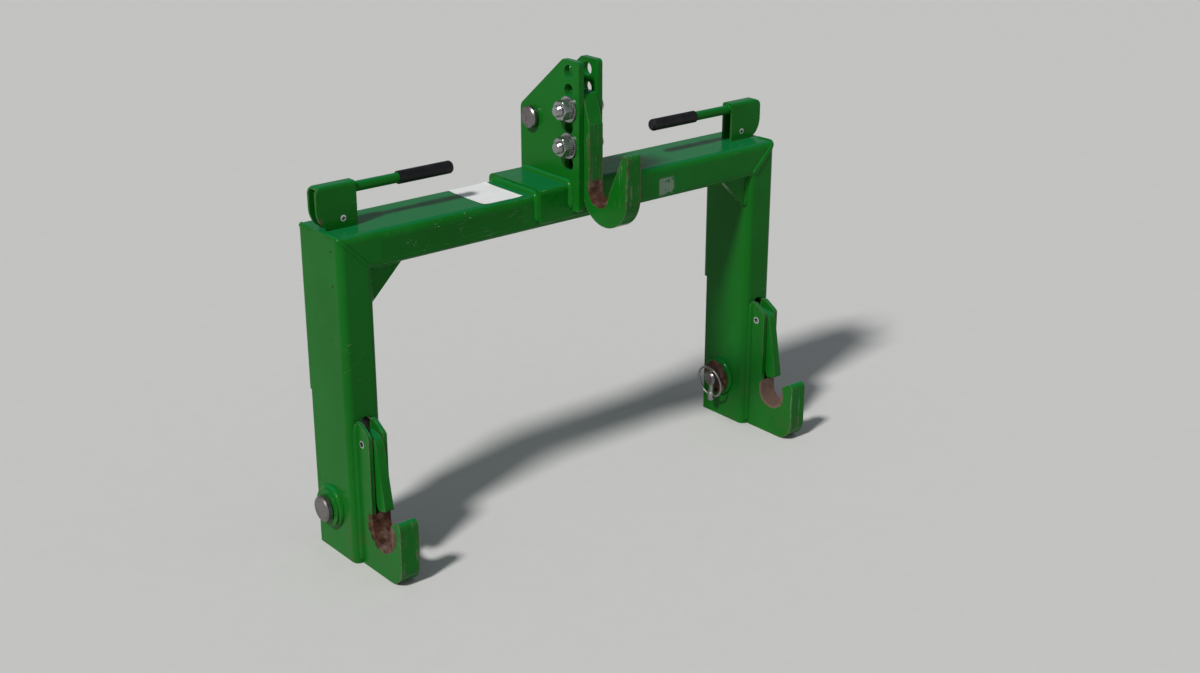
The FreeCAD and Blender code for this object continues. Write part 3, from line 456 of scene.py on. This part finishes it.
def make_stage():
    """A plain floor just under the feet, a key lamp, a weak fill lamp and an even world."""
    data = bpy.data.meshes.new("floor")
    corners = [(x * FLOOR_REACH, y * FLOOR_REACH, 0)
               for x, y in ((-1, -1), (1, -1), (1, 1), (-1, 1))]
    data.from_pydata(corners, [], [(0, 1, 2, 3)])
    floor = bpy.data.objects.new("floor", data)
    link(floor)
    floor.location.z = -FLOOR_DROP
    data.materials.append(floor_material())

    make_sun("key", towards=(-0.66, -0.18, 0.73), spread=8, strength=3.3,
             colour=(1.0, 0.985, 0.96))
    make_sun("fill", towards=(0.45, -0.75, 0.50), spread=60, strength=0.12,
             colour=(0.94, 0.97, 1.0))

    world = bpy.data.worlds.new("world")
    bpy.context.scene.world = world
    world.use_nodes = True
    nodes, links = world.node_tree.nodes, world.node_tree.links
    background = nodes["Background"]
    background.inputs["Color"].default_value = WORLD_COLOUR
    split = nodes.new("ShaderNodeSeparateXYZ")
    level = nodes.new("ShaderNodeMapRange")
    level.inputs["From Max"].default_value = PALE_UP_TO
    level.inputs["To Min"].default_value = HORIZON_STRENGTH
    level.inputs["To Max"].default_value = OVERHEAD_STRENGTH
    links.new(nodes.new("ShaderNodeTexCoord").outputs["Generated"], split.inputs[0])
    links.new(split.outputs[2], level.inputs["Value"])
    links.new(level.outputs["Result"], background.inputs["Strength"])
    bpy.context.scene.view_settings.view_transform = "Standard"


# ---------------------------------------------------------------- mesh pieces


def finish_piece(name, mesh, body, material, smooth):
    """Link a bmesh as an object that rides on a body; smooth is the angle of its soft edges."""
    data = bpy.data.meshes.new(name)
    bmesh.ops.recalc_face_normals(mesh, faces=mesh.faces)
    mesh.to_mesh(data)
    mesh.free()
    data.materials.append(material)
    data.shade_smooth()
    data.set_sharp_from_angle(angle=math.radians(smooth))
    piece = bpy.data.objects.new(name, data)
    link(piece)
    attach(piece, body)
    return piece


def skin(mesh, rings):
    """Closed rings of points joined into a closed tube with flat ends."""
    loops = [[mesh.verts.new(point) for point in ring] for ring in rings]
    count = len(loops[0])
    for near, far in zip(loops, loops[1:]):
        for i in range(count):
            j = (i + 1) % count
            mesh.faces.new((near[i], near[j], far[j], far[i]))
    mesh.faces.new(loops[0][::-1])
    mesh.faces.new(loops[-1])


# A bead's ripples, and its round ends, as shares of its half width and of its ripples' pitch.
RIPPLE_PITCH = 0.9
RIPPLE_PLACES = (0.0, 0.3, 0.7)
RIPPLE_SIZES = (0.975, 1.015, 1.0)
RIPPLE_LAG = 0.35
SWELLING = 0.09
END_LENGTH = 1.7
END_FLAT = 0.03


def bead(mesh, points, outs, radius, closed=False, crown=0.72):
    """A painted weld bead along a path: soft ripples and slow swellings, rounded at its ends.

    outs is the way out of the joint, or a list of them with one for each point; crown is the
    bead's height over its half width.
    """
    pitch = radius * RIPPLE_PITCH
    path = [Vector(p) for p in points]
    if not isinstance(outs, list):
        outs = [Vector(outs)] * len(path)
    if closed:
        path.append(path[0])
        outs = outs + [outs[0]]
    legs = [(b - a).length for a, b in zip(path, path[1:])]
    total = sum(legs)
    count = max(3, round(total / pitch))
    swell = [random.uniform(-SWELLING, SWELLING) for _ in range(count // 3 + 2)]
    if closed:
        swell[-1] = swell[0]
    rings = []
    for number in range(count * 3 + 1):
        ripple, phase = divmod(number, 3)
        along = total * (ripple + RIPPLE_PLACES[phase]) / count
        rest, leg = along, 0
        while leg < len(legs) - 1 and rest > legs[leg]:
            rest -= legs[leg]
            leg += 1
        part = min(1.0, rest / legs[leg])
        direction = (path[leg + 1] - path[leg]).normalized()
        centre = path[leg].lerp(path[leg + 1], part)
        out = outs[leg].lerp(outs[leg + 1], part)
        out = (out - direction * out.dot(direction)).normalized()
        side = direction.cross(out)
        near_end = min(1.0, END_FLAT + min(along, total - along) / (radius * END_LENGTH))
        end = 1.0 if closed else math.sqrt(1 - (1 - near_end) ** 2)
        place, part = divmod(along / total * (len(swell) - 1.001), 1)
        lump = swell[int(place)] * (1 - part) + swell[int(place) + 1] * part
        size = radius * RIPPLE_SIZES[phase] * (1 + lump) * end
        ring = []
        for angle in circle(12):
            lag = direction * (-RIPPLE_LAG * pitch * math.cos(angle))
            ring.append(centre + (out * math.cos(angle) * crown + side * math.sin(angle)) * size
                        + lag * end)
        rings.append(ring)
    skin(mesh, rings)


DROP_SIZES = (0.0005, 0.0011)


def spatter(mesh, centre, normal, reach_near, reach_far, count):
    """Drops of weld metal under the paint, half sunk in a flat face round a centre."""
    normal = Vector(normal)
    across = normal.orthogonal().normalized()
    along = normal.cross(across)
    for _ in range(count):
        turn = random.uniform(0, 2 * math.pi)
        reach = random.uniform(reach_near, reach_far)
        size = random.uniform(*DROP_SIZES)
        spot = centre + (across * math.cos(turn) + along * math.sin(turn)) * reach
        rings = []
        for lift in (-60, -20, 20, 50, 75):
            level, flat = math.sin(math.radians(lift)), math.cos(math.radians(lift))
            rings.append([spot + normal * level * size
                          + (across * math.cos(a) + along * math.sin(a)) * flat * size
                          for a in circle(8)])
        skin(mesh, rings)


def quarter(y, z, first, radius):
    """Stations round a quarter of a rounded edge that runs along X: y, z and the way out."""
    turns = [math.radians(first - 9 * i) for i in range(11)]
    return [(y + radius * math.cos(a), z + radius * math.sin(a), math.cos(a), math.sin(a))
            for a in turns]


def over(x, out, bottom, top, front, back, corner, down=True):
    """The path and ways out up a front, over the top, and down behind unless it stops there."""
    stations = [(front, bottom, -1, 0), *quarter(front + corner, top - corner, 180, corner)]
    if down:
        stations += [*quarter(back - corner, top - corner, 90, corner), (back, bottom, 1, 0)]
    else:
        stations.append((back, top, 0, 1))
    return ([Vector((x, y, z)) for y, z, _, _ in stations],
            [Vector((out, out_y, out_z)) for _, _, out_y, out_z in stations])


def round_mitre(side, half, low, high, corner, inset, gap):
    """The path and ways out round a mitred corner of the frame, with a gap on its top.

    The bead is ground flush in the gap, where the lever's cam edge turns on the tube.
    """
    top, under = high.z - inset, low.z + inset
    stations = [(gap[1], top, 0, 1),
                *quarter(high.y - corner, top - corner, 90, corner),
                *quarter(high.y - corner, under + corner, 0, corner),
                *quarter(low.y + corner, under + corner, -90, corner),
                *quarter(low.y + corner, top - corner, 180, corner),
                (gap[0], top, 0, 1)]
    return ([Vector((side * (half - (high.z - z)), y, z)) for y, z, _, _ in stations],
            [Vector((side * out_z, out_y, out_z)) for _, _, out_y, out_z in stations])


def round_boss(centre, radius):
    """The closed path and ways out round a circle about X."""
    outs = [Vector((0, math.cos(a), math.sin(a))) for a in circle(40)]
    return [centre + out * radius for out in outs], outs


# Half widths of the beads at each kind of joint.
LEFT_MITRE_BEAD = 0.0031
RIGHT_MITRE_BEAD = 0.0040
MITRE_CROWN = 0.50
SADDLE_FOOT_BEAD = 0.0056
PLATE_BEAD = 0.0062
GUSSET_BEAD = 0.0042
HOOK_BEAD = 0.0050
BOSS_BEAD = 0.0056
LEVER_BEAD = 0.0022

TUBE_CORNER = 0.009
SADDLE_BEND = 0.008
SADDLE_WALL = 0.008
CAM_ROOM = 0.0025
# How deep the mitre beads and the hooks' beads lie in the faces.
MITRE_SINK = 0.0014
HOOK_SINK = 0.0004
# How far beads stop short of an edge, and the hooks' beads of the foot and top.
END_SHORT = 0.003
HOOK_FOOT_SHORT = 0.004
HOOK_TOP_SHORT = 0.002
# Where the drops lie on the saddle's front: along X, and above its lower edge.
SADDLE_DROPS = (-0.045, 0.030)


def finish_weld(name, mesh, materials, body="frame"):
    """Link a mesh of weld beads, under the same green as the plates."""
    finish_piece(name, mesh, body, materials["weld"], 60)


def weld_corners(materials, tube_low, tube_high):
    """The beads round the two mitres of the frame."""
    bracket_low, bracket_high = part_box("left_lever_bracket")
    cam_gap = bracket_low.y - CAM_ROOM, bracket_high.y + CAM_ROOM
    mesh = bmesh.new()
    for side, size in ((-1, LEFT_MITRE_BEAD), (1, RIGHT_MITRE_BEAD)):
        points, outs = round_mitre(side, tube_high.x, tube_low, tube_high, TUBE_CORNER,
                                   MITRE_SINK, cam_gap)
        bead(mesh, points, outs, size, crown=MITRE_CROWN)
    finish_weld("welds_corners", mesh, materials)


def weld_mast(materials, tube_low, tube_high):
    """The beads round the saddle and along the outside of the mast plates."""
    front, back = tube_low.y, tube_high.y
    low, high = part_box("mast_saddle")
    mesh = bmesh.new()
    for y, facing in ((front, -1), (back, 1)):
        bead(mesh, [(low.x, y, low.z), (high.x, y, low.z)], (0, facing, -1), SADDLE_FOOT_BEAD)
    for x, out in ((low.x, -1), (high.x, 1)):
        points, outs = over(x, out, low.z, tube_high.z, front, back, TUBE_CORNER)
        bead(mesh, points, outs, PLATE_BEAD)
    x, above = SADDLE_DROPS
    spatter(mesh, Vector((x, front - SADDLE_WALL, low.z + above)), (0, -1, 0),
            reach_near=0.002, reach_far=0.014, count=7)
    finish_weld("welds_saddle", mesh, materials)

    mesh = bmesh.new()
    for name, out in SIDES.items():
        plate_low, plate_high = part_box(f"{name}_mast_plate")
        outside = plate_low.x if out < 0 else plate_high.x
        points, outs = over(outside, out, plate_low.z + END_SHORT, high.z, low.y, plate_high.y,
                            SADDLE_BEND, down=False)
        bead(mesh, points, outs, PLATE_BEAD)
    finish_weld("welds_mast", mesh, materials)


def weld_leg(materials, name, side, front):
    """The beads of one leg: its corner gusset, its hook and its two bosses."""
    mesh = bmesh.new()
    low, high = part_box(f"{name}_corner_gusset")
    leg_x, tip_x = (low.x, high.x) if side < 0 else (high.x, low.x)
    for y, facing in ((low.y, -1), (high.y, 1)):
        inner = (leg_x, y, high.z)
        bead(mesh, [(leg_x, y, low.z + END_SHORT), inner], (-side, facing, 0), GUSSET_BEAD)
        bead(mesh, [inner, (tip_x + side * END_SHORT, y, high.z)], (0, facing, -1), GUSSET_BEAD)

    low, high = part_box(f"{name}_lower_hook")
    y = front + HOOK_SINK
    foot, head = low.z + HOOK_FOOT_SHORT, high.z - HOOK_TOP_SHORT
    for x, out in ((low.x, -1), (high.x, 1)):
        bead(mesh, [(x, y, foot), (x, y, head)], (out, -1, 0), HOOK_BEAD)

    leg_low, leg_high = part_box(f"{name}_leg_tube")
    for place in ("outer", "inner"):
        low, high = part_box(f"{name}_{place}_link_boss")
        centre = (low + high) / 2
        out = 1 if centre.x > (leg_low.x + leg_high.x) / 2 else -1
        hub = Vector((low.x if out > 0 else high.x, centre.y, centre.z))
        points, outs = round_boss(hub, (high.z - low.z) / 2)
        bead(mesh, points, outs, BOSS_BEAD, closed=True)
        spatter(mesh, hub, (out, 0, 0), reach_near=0.030, reach_far=0.042, count=6)
    finish_weld(f"welds_{name}_leg", mesh, materials)


def weld_lever(materials, name, side):
    """The bead round the top of a lever's bar, where it leaves the bracket."""
    mesh = bmesh.new()
    low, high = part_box(f"{name}_lever_bar")
    bracket_low, bracket_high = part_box(f"{name}_lever_bracket")
    mouth = bracket_high.x if side < 0 else bracket_low.x
    radius = (high.z - low.z) / 2
    centre = Vector((mouth, (low.y + high.y) / 2, (low.z + high.z) / 2))
    outs = [Vector((0, math.sin(a), math.cos(a)))
            for a in (math.radians(d) for d in range(-100, 101, 10))]
    bead(mesh, [centre + out * radius for out in outs], outs, LEVER_BEAD)
    finish_weld(f"weld_{name}_lever", mesh, materials, f"{name}_lever")


def welds(materials):
    """Weld beads where the plates and tubes meet."""
    tube_low, tube_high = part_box("cross_tube")
    weld_corners(materials, tube_low, tube_high)
    weld_mast(materials, tube_low, tube_high)
    for name, side in SIDES.items():
        weld_leg(materials, name, side, tube_low.y)
        weld_lever(materials, name, side)


# ---------------------------------------------------------------- bolts and nuts

THREAD_RADIUS = 0.0079
THREAD_PITCH = 0.0023
# How far inside the nut the plain shank ends and the thread starts.
SHANK_END = 0.0040
THREAD_START = 0.0045
# The thread's depth and the chamfer at its end, as shares of its pitch.
THREAD_DEPTH = 0.45
THREAD_CHAMFER = 0.7
STEPS_PER_PITCH = 6
HEAD_GAP = 0.0002
# The corners of heads and nuts are turned off to a circle inside the flats, at 30 degrees.
TURNED_SHARE = 0.965
CHAMFER_SLOPE = math.tan(math.radians(30))
CHAMFER_STEPS = 5


def round_ring(x, centre, radius):
    """One ring of a round bar along X."""
    return [Vector((x, centre.y + radius * math.cos(a), centre.z + radius * math.sin(a)))
            for a in circle(40)]


def hex_ring(x, centre, flats, limit):
    """One ring of a hexagonal prism along X, cut back to a largest radius."""
    ring = []
    for angle in circle(72):
        fold = (angle + math.pi / 6) % (math.pi / 3) - math.pi / 6
        radius = min(flats / 2 / math.cos(fold), limit)
        ring.append(Vector((x, centre.y + radius * math.cos(angle + math.pi / 6),
                            centre.z + radius * math.sin(angle + math.pi / 6))))
    return ring


def hex_rings(start, end, centre, flats, both_ends):
    """A hexagonal prism along X with the corners turned off at its end, or at both."""
    corner = flats / math.sqrt(3)
    turned = flats / 2 * TURNED_SHARE
    depth = (corner - turned) * CHAMFER_SLOPE
    sign = 1 if end > start else -1
    length = abs(end - start)
    chamfer = [(depth * i / CHAMFER_STEPS, turned + depth * i / CHAMFER_STEPS / CHAMFER_SLOPE)
               for i in range(CHAMFER_STEPS)]
    stations = chamfer + [(depth, corner * 2)] if both_ends else [(0.0, corner * 2)]
    stations.append((length - depth, corner * 2))
    stations += [(length - along, limit) for along, limit in reversed(chamfer)]
    return [hex_ring(start + sign * along, centre, flats, limit) for along, limit in stations]


def thread_rings(start, end, centre, radius, pitch):
    """A screw thread along X that runs out into a chamfer at its end."""
    depth = pitch * THREAD_DEPTH
    points = 40
    length = abs(end - start)
    steps = round(length / pitch * STEPS_PER_PITCH)
    rings = []
    for number in range(steps + 1):
        along = length * number / steps
        limit = radius - max(0.0, along - (length - pitch * THREAD_CHAMFER))
        ring = []
        for i in range(points):
            turn = i / points
            phase = (along / pitch + turn) % 1.0
            groove = depth * abs(2 * phase - 1)
            size = min(radius - groove, limit)
            angle = 2 * math.pi * turn
            ring.append(Vector((start + (end - start) * number / steps,
                                centre.y + size * math.cos(angle),
                                centre.z + size * math.sin(angle))))
        rings.append(ring)
    return rings


def fasteners(materials):
    """Bolts with turned heads and threaded ends, and nuts, in place of the plain solids."""
    low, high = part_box("upper_hook_bolts")
    nut_low, nut_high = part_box("upper_hook_nuts")
    plate_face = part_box("right_mast_plate")[1].x
    flats = nut_high.y - nut_low.y
    half_hex = flats / math.sqrt(3)
    bolts, nuts = bmesh.new(), bmesh.new()
    for height in (nut_low.z + half_hex, nut_high.z - half_hex):
        centre = Vector((0, (nut_low.y + nut_high.y) / 2, height))
        skin(bolts, hex_rings(plate_face + HEAD_GAP, high.x, centre, flats, both_ends=False))
        skin(bolts, [round_ring(x, centre, THREAD_RADIUS)
                     for x in (plate_face, nut_low.x + SHANK_END)])
        skin(bolts, thread_rings(nut_low.x + THREAD_START, low.x, centre, THREAD_RADIUS,
                                 THREAD_PITCH))
        skin(nuts, hex_rings(nut_high.x, nut_low.x, centre, flats, both_ends=True))
    bolt = finish_piece("bolts_detailed", bolts, "frame", materials["nut"], 25)
    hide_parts("upper_hook_bolts")
    nut = finish_piece("nuts_detailed", nuts, "frame", materials["nut"], 25)
    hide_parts("upper_hook_nuts")


# ---------------------------------------------------------------- springs

WIRE_RADIUS = 0.0011
SPRING_TURNS = 9
STEPS_PER_TURN = 28


def coil_rings(centre, foot, height, reach):
    """The rings along a coil spring's wire, with one closed turn at either end."""
    wire, turns = WIRE_RADIUS, SPRING_TURNS
    free = height - 4 * wire
    steps = turns * STEPS_PER_TURN
    rings = []
    for number in range(steps + 1):
        turn = turns * number / steps
        open_part = min(max(turn - 1, 0.0), turns - 2) / (turns - 2)
        closed_part = turn - open_part * (turns - 2)
        eased = open_part * open_part * (3 - 2 * open_part)
        rise = (free - 4 * wire) * (0.9 * open_part + 0.1 * eased) + 2 * wire * closed_part
        angle = 2 * math.pi * turn
        out = Vector((math.cos(angle), math.sin(angle), 0))
        middle = Vector((centre.x, centre.y, foot + 2 * wire + rise)) + out * reach
        rings.append([middle + (out * math.cos(a) + Vector((0, 0, math.sin(a)))) * wire
                      for a in circle(10)])
    return rings


def springs(materials):
    """Coil springs with closed ends, in place of the plain spring solids."""
    for name in SIDES:
        low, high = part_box(f"{name}_rod_spring")
        centre = (low + high) / 2
        mesh = bmesh.new()
        skin(mesh, coil_rings(centre, low.z, high.z - low.z, (high.x - low.x) / 2 - WIRE_RADIUS))
        spring = finish_piece(f"{name}_spring_coil", mesh, "frame", materials["spring"],
                              40)
        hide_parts(f"{name}_rod_spring")
        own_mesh(spring)


# ---------------------------------------------------------------- label

LABEL_X = (-0.147, -0.086)
LABEL_BEHIND_FRONT = (0.0075, 0.0890)
LABEL_THICKNESS = 0.00012
LABEL_OFF_TUBE = 0.0001
LABEL_EDGE_LIFT = 0.00025
LABEL_CORNER_LIFT = 0.0010


def label(materials):
    """A blank label on top of the cross tube, with its corners a little lifted."""
    low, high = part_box("cross_tube")
    x0, x1 = LABEL_X
    y0, y1 = (low.y + reach for reach in LABEL_BEHIND_FRONT)
    columns, rows = 16, 20
    mesh = bmesh.new()
    grids = []
    for thickness in (0.0, LABEL_THICKNESS):
        grid = []
        for i in range(columns + 1):
            for j in range(rows + 1):
                u, v = i / columns, j / rows
                edge = max(abs(2 * u - 1), abs(2 * v - 1)) ** 10
                corner = (abs(2 * u - 1) * abs(2 * v - 1)) ** 6
                wave = 0.5 + 0.5 * math.sin(9 * v + 5 * u)
                lift = LABEL_EDGE_LIFT * edge * wave + LABEL_CORNER_LIFT * corner
                z = high.z + LABEL_OFF_TUBE + thickness + lift
                grid.append(mesh.verts.new((x0 + (x1 - x0) * u, y0 + (y1 - y0) * v, z)))
        grids.append(grid)

    def index(i, j):
        return i * (rows + 1) + j

    for layer, grid in enumerate(grids):
        for i in range(columns):
            for j in range(rows):
                square = [grid[index(i, j)], grid[index(i + 1, j)],
                          grid[index(i + 1, j + 1)], grid[index(i, j + 1)]]
                mesh.faces.new(square if layer else square[::-1])
    rim = ([index(i, 0) for i in range(columns)] + [index(columns, j) for j in range(rows)]
           + [index(i, rows) for i in range(columns, 0, -1)]
           + [index(0, j) for j in range(rows, 0, -1)])
    for a, b in zip(rim, rim[1:] + rim[:1]):
        mesh.faces.new((grids[0][a], grids[0][b], grids[1][b], grids[1][a]))
    finish_piece("blank_label", mesh, "frame", materials["label"], 40)


# ---------------------------------------------------------------- dressing the CAD nodes


def repaint(node, material):
    """Give a CAD node one material."""
    slots = frame["nodes"][node].data.materials
    slots.clear()
    slots.append(material)


def dress(materials):
    """A finished material for every CAD node."""
    by_slot = {"green_paint": "paint", "plain_steel": "plain", "zinc_steel": "zinc",
               "yellow_zinc": "yellow", "spring_steel": "spring", "black_grip": "grip"}
    for part in frame["record"]["subparts"]:
        repaint(part["node"], materials[by_slot[part["material_slot"]]])
    for name in SIDES:
        repaint(f"{name}_lower_hook", materials[f"{name}_hook"])
        repaint(f"{name}_leg_tube", materials["leg"])
        repaint(f"{name}_inner_link_boss", materials["boss"])
        repaint(f"{name}_latch", materials["latch"])
        repaint(f"{name}_lever_bracket", materials["bracket"])
    repaint("upper_hook", materials["upper_hook"])
    repaint("cross_tube", materials["tube"])
    repaint("upper_hook_washers", materials["nut"])


# How far the worn places reach past the faces they cover, and how wide a worn edge is.
PAST_FACE = 0.01
EDGE_REACH = 0.0016

# How far in front of the tube's face, and how high, the middles of the hooks' seats are.
LOWER_SEAT = (0.0485, 0.066)
UPPER_SEAT = (0.054, 0.439)

# The two small holes in the left leg's side, drawn as spots of painted shade.
DRILLED_BEHIND_FRONT = 0.0186
DRILLED_HEIGHTS = (0.415, 0.371)
DRILLED_RADIUS = 0.0015


def both_edges(low, high, y_range, z_range):
    """A thin box at either side of a piece, along its upright edges."""
    return [((x - EDGE_REACH, y_range[0], z_range[0]), (x + EDGE_REACH, y_range[1], z_range[1]))
            for x in (low.x, high.x)]


def seat_wear(front, seat, radius, top, ragged, seed):
    """Where a hook's seat is rubbed bare, as near_seat takes it."""
    forward, height = seat
    return {"y": front - forward, "z": height, "radius": radius, "top": top,
            "ragged": ragged, "seed": seed}


def lower_hook_lip(name):
    """The front of a lower hook's lip, which the implement's pins scratch."""
    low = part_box(f"{name}_lower_hook")[0]
    return ((low.x - PAST_FACE, low.y - PAST_FACE, 0.015), (low.x + 0.04, low.y + 0.004, 0.10))


def tube_paint(front):
    """The cross tube's paint, with what is left of the two stickers on its front."""
    near, far = front - 0.002, front + 0.006
    decal = ((-0.306, near, 0.397), (-0.091, far, 0.4225))
    chipped = ((-0.300, near, 0.396), (-0.080, far, 0.432))
    sticker = ((0.142, near, 0.393), (0.169, far, 0.417))
    return paint("green_paint_tube", flecks=[chipped], ghost=decal, residue=sticker)


def upper_hook_paint(front):
    """The upper hook's paint, scratched on the shank and lip and bare along their edges."""
    low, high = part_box("upper_hook")
    shank = ((low.x - PAST_FACE, front - 0.036, 0.444), (high.x + PAST_FACE, front - 0.020, 0.530))
    lip = ((low.x - PAST_FACE, low.y - PAST_FACE, 0.43),
           (high.x + PAST_FACE, low.y + 0.03, 0.51))
    shank_edges = both_edges(low, high, (front - 0.0385, front - 0.0325), (0.430, 0.506))
    lip_edges = both_edges(low, high, (low.y - 0.005, low.y + 0.003), (0.425, 0.505))
    seat = seat_wear(front, UPPER_SEAT, radius=0.0205, top=0.452, ragged=0.0030, seed=7.0)
    return paint("green_paint_upper_hook", wear=1.0, drags=[shank, lip],
                 rubs=shank_edges + lip_edges, seats=[seat])


def make_materials():
    """Every material, by the name the other functions use."""
    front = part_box("cross_tube")[0].y
    left_seat = seat_wear(front, LOWER_SEAT, radius=0.0315, top=0.080, ragged=0.0040, seed=0.0)
    right_seat = seat_wear(front, LOWER_SEAT, radius=0.0245, top=0.086, ragged=0.0026, seed=3.0)
    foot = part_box("left_lever_bracket")[0]
    worn_foot = ((foot.x - PAST_FACE, foot.y - PAST_FACE, foot.z - PAST_FACE),
                 (foot.x + 0.0065, foot.y + 0.003, foot.z + 0.016))
    leg_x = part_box("left_leg_tube")[0].x
    drilled = [(leg_x, front + DRILLED_BEHIND_FRONT, height, DRILLED_RADIUS)
               for height in DRILLED_HEIGHTS]
    return {
        "paint": paint("green_paint"),
        "tube": tube_paint(front),
        "leg": paint("green_paint_leg", holes=drilled),
        "boss": paint("green_paint_boss", rusty_ends=True),
        "weld": paint("green_paint_weld", wear=0.0),
        "left_hook": paint("green_paint_left_hook", wear=1.0, drags=[lower_hook_lip("left")],
                           seats=[left_seat]),
        "right_hook": paint("green_paint_right_hook", wear=0.8, polished=0.22,
                            drags=[lower_hook_lip("right")], seats=[right_seat]),
        "upper_hook": upper_hook_paint(front),
        "latch": paint("green_paint_latch", wear=0.6),
        "bracket": paint("green_paint_bracket", rubs=[worn_foot], wear=0.5),
        "plain": steel("plain_steel", colour=(0.26, 0.245, 0.25), dull=(0.18, 0.155, 0.150),
                       rust_level=0.45),
        "nut": steel("nut_steel", colour=(0.44, 0.45, 0.45), dull=(0.30, 0.30, 0.29),
                     rust_level=0.25, rough=0.27),
        "zinc": steel("zinc_steel", colour=(0.74, 0.75, 0.76), dull=(0.55, 0.55, 0.54),
                      rust_level=0.10, rough=0.24),
        "yellow": steel("yellow_zinc", colour=(0.36, 0.375, 0.35), dull=(0.23, 0.24, 0.22),
                        rust_level=0.35),
        "spring": steel("spring_steel", colour=(0.42, 0.40, 0.38), dull=(0.25, 0.23, 0.21),
                        rust_level=0.40),
        "grip": vinyl("black_grip"),
        "label": label_film("white_label"),
    }


make_camera()
make_stage()
library = make_materials()
dress(library)
welds(library)
fasteners(library)
springs(library)
label(library)
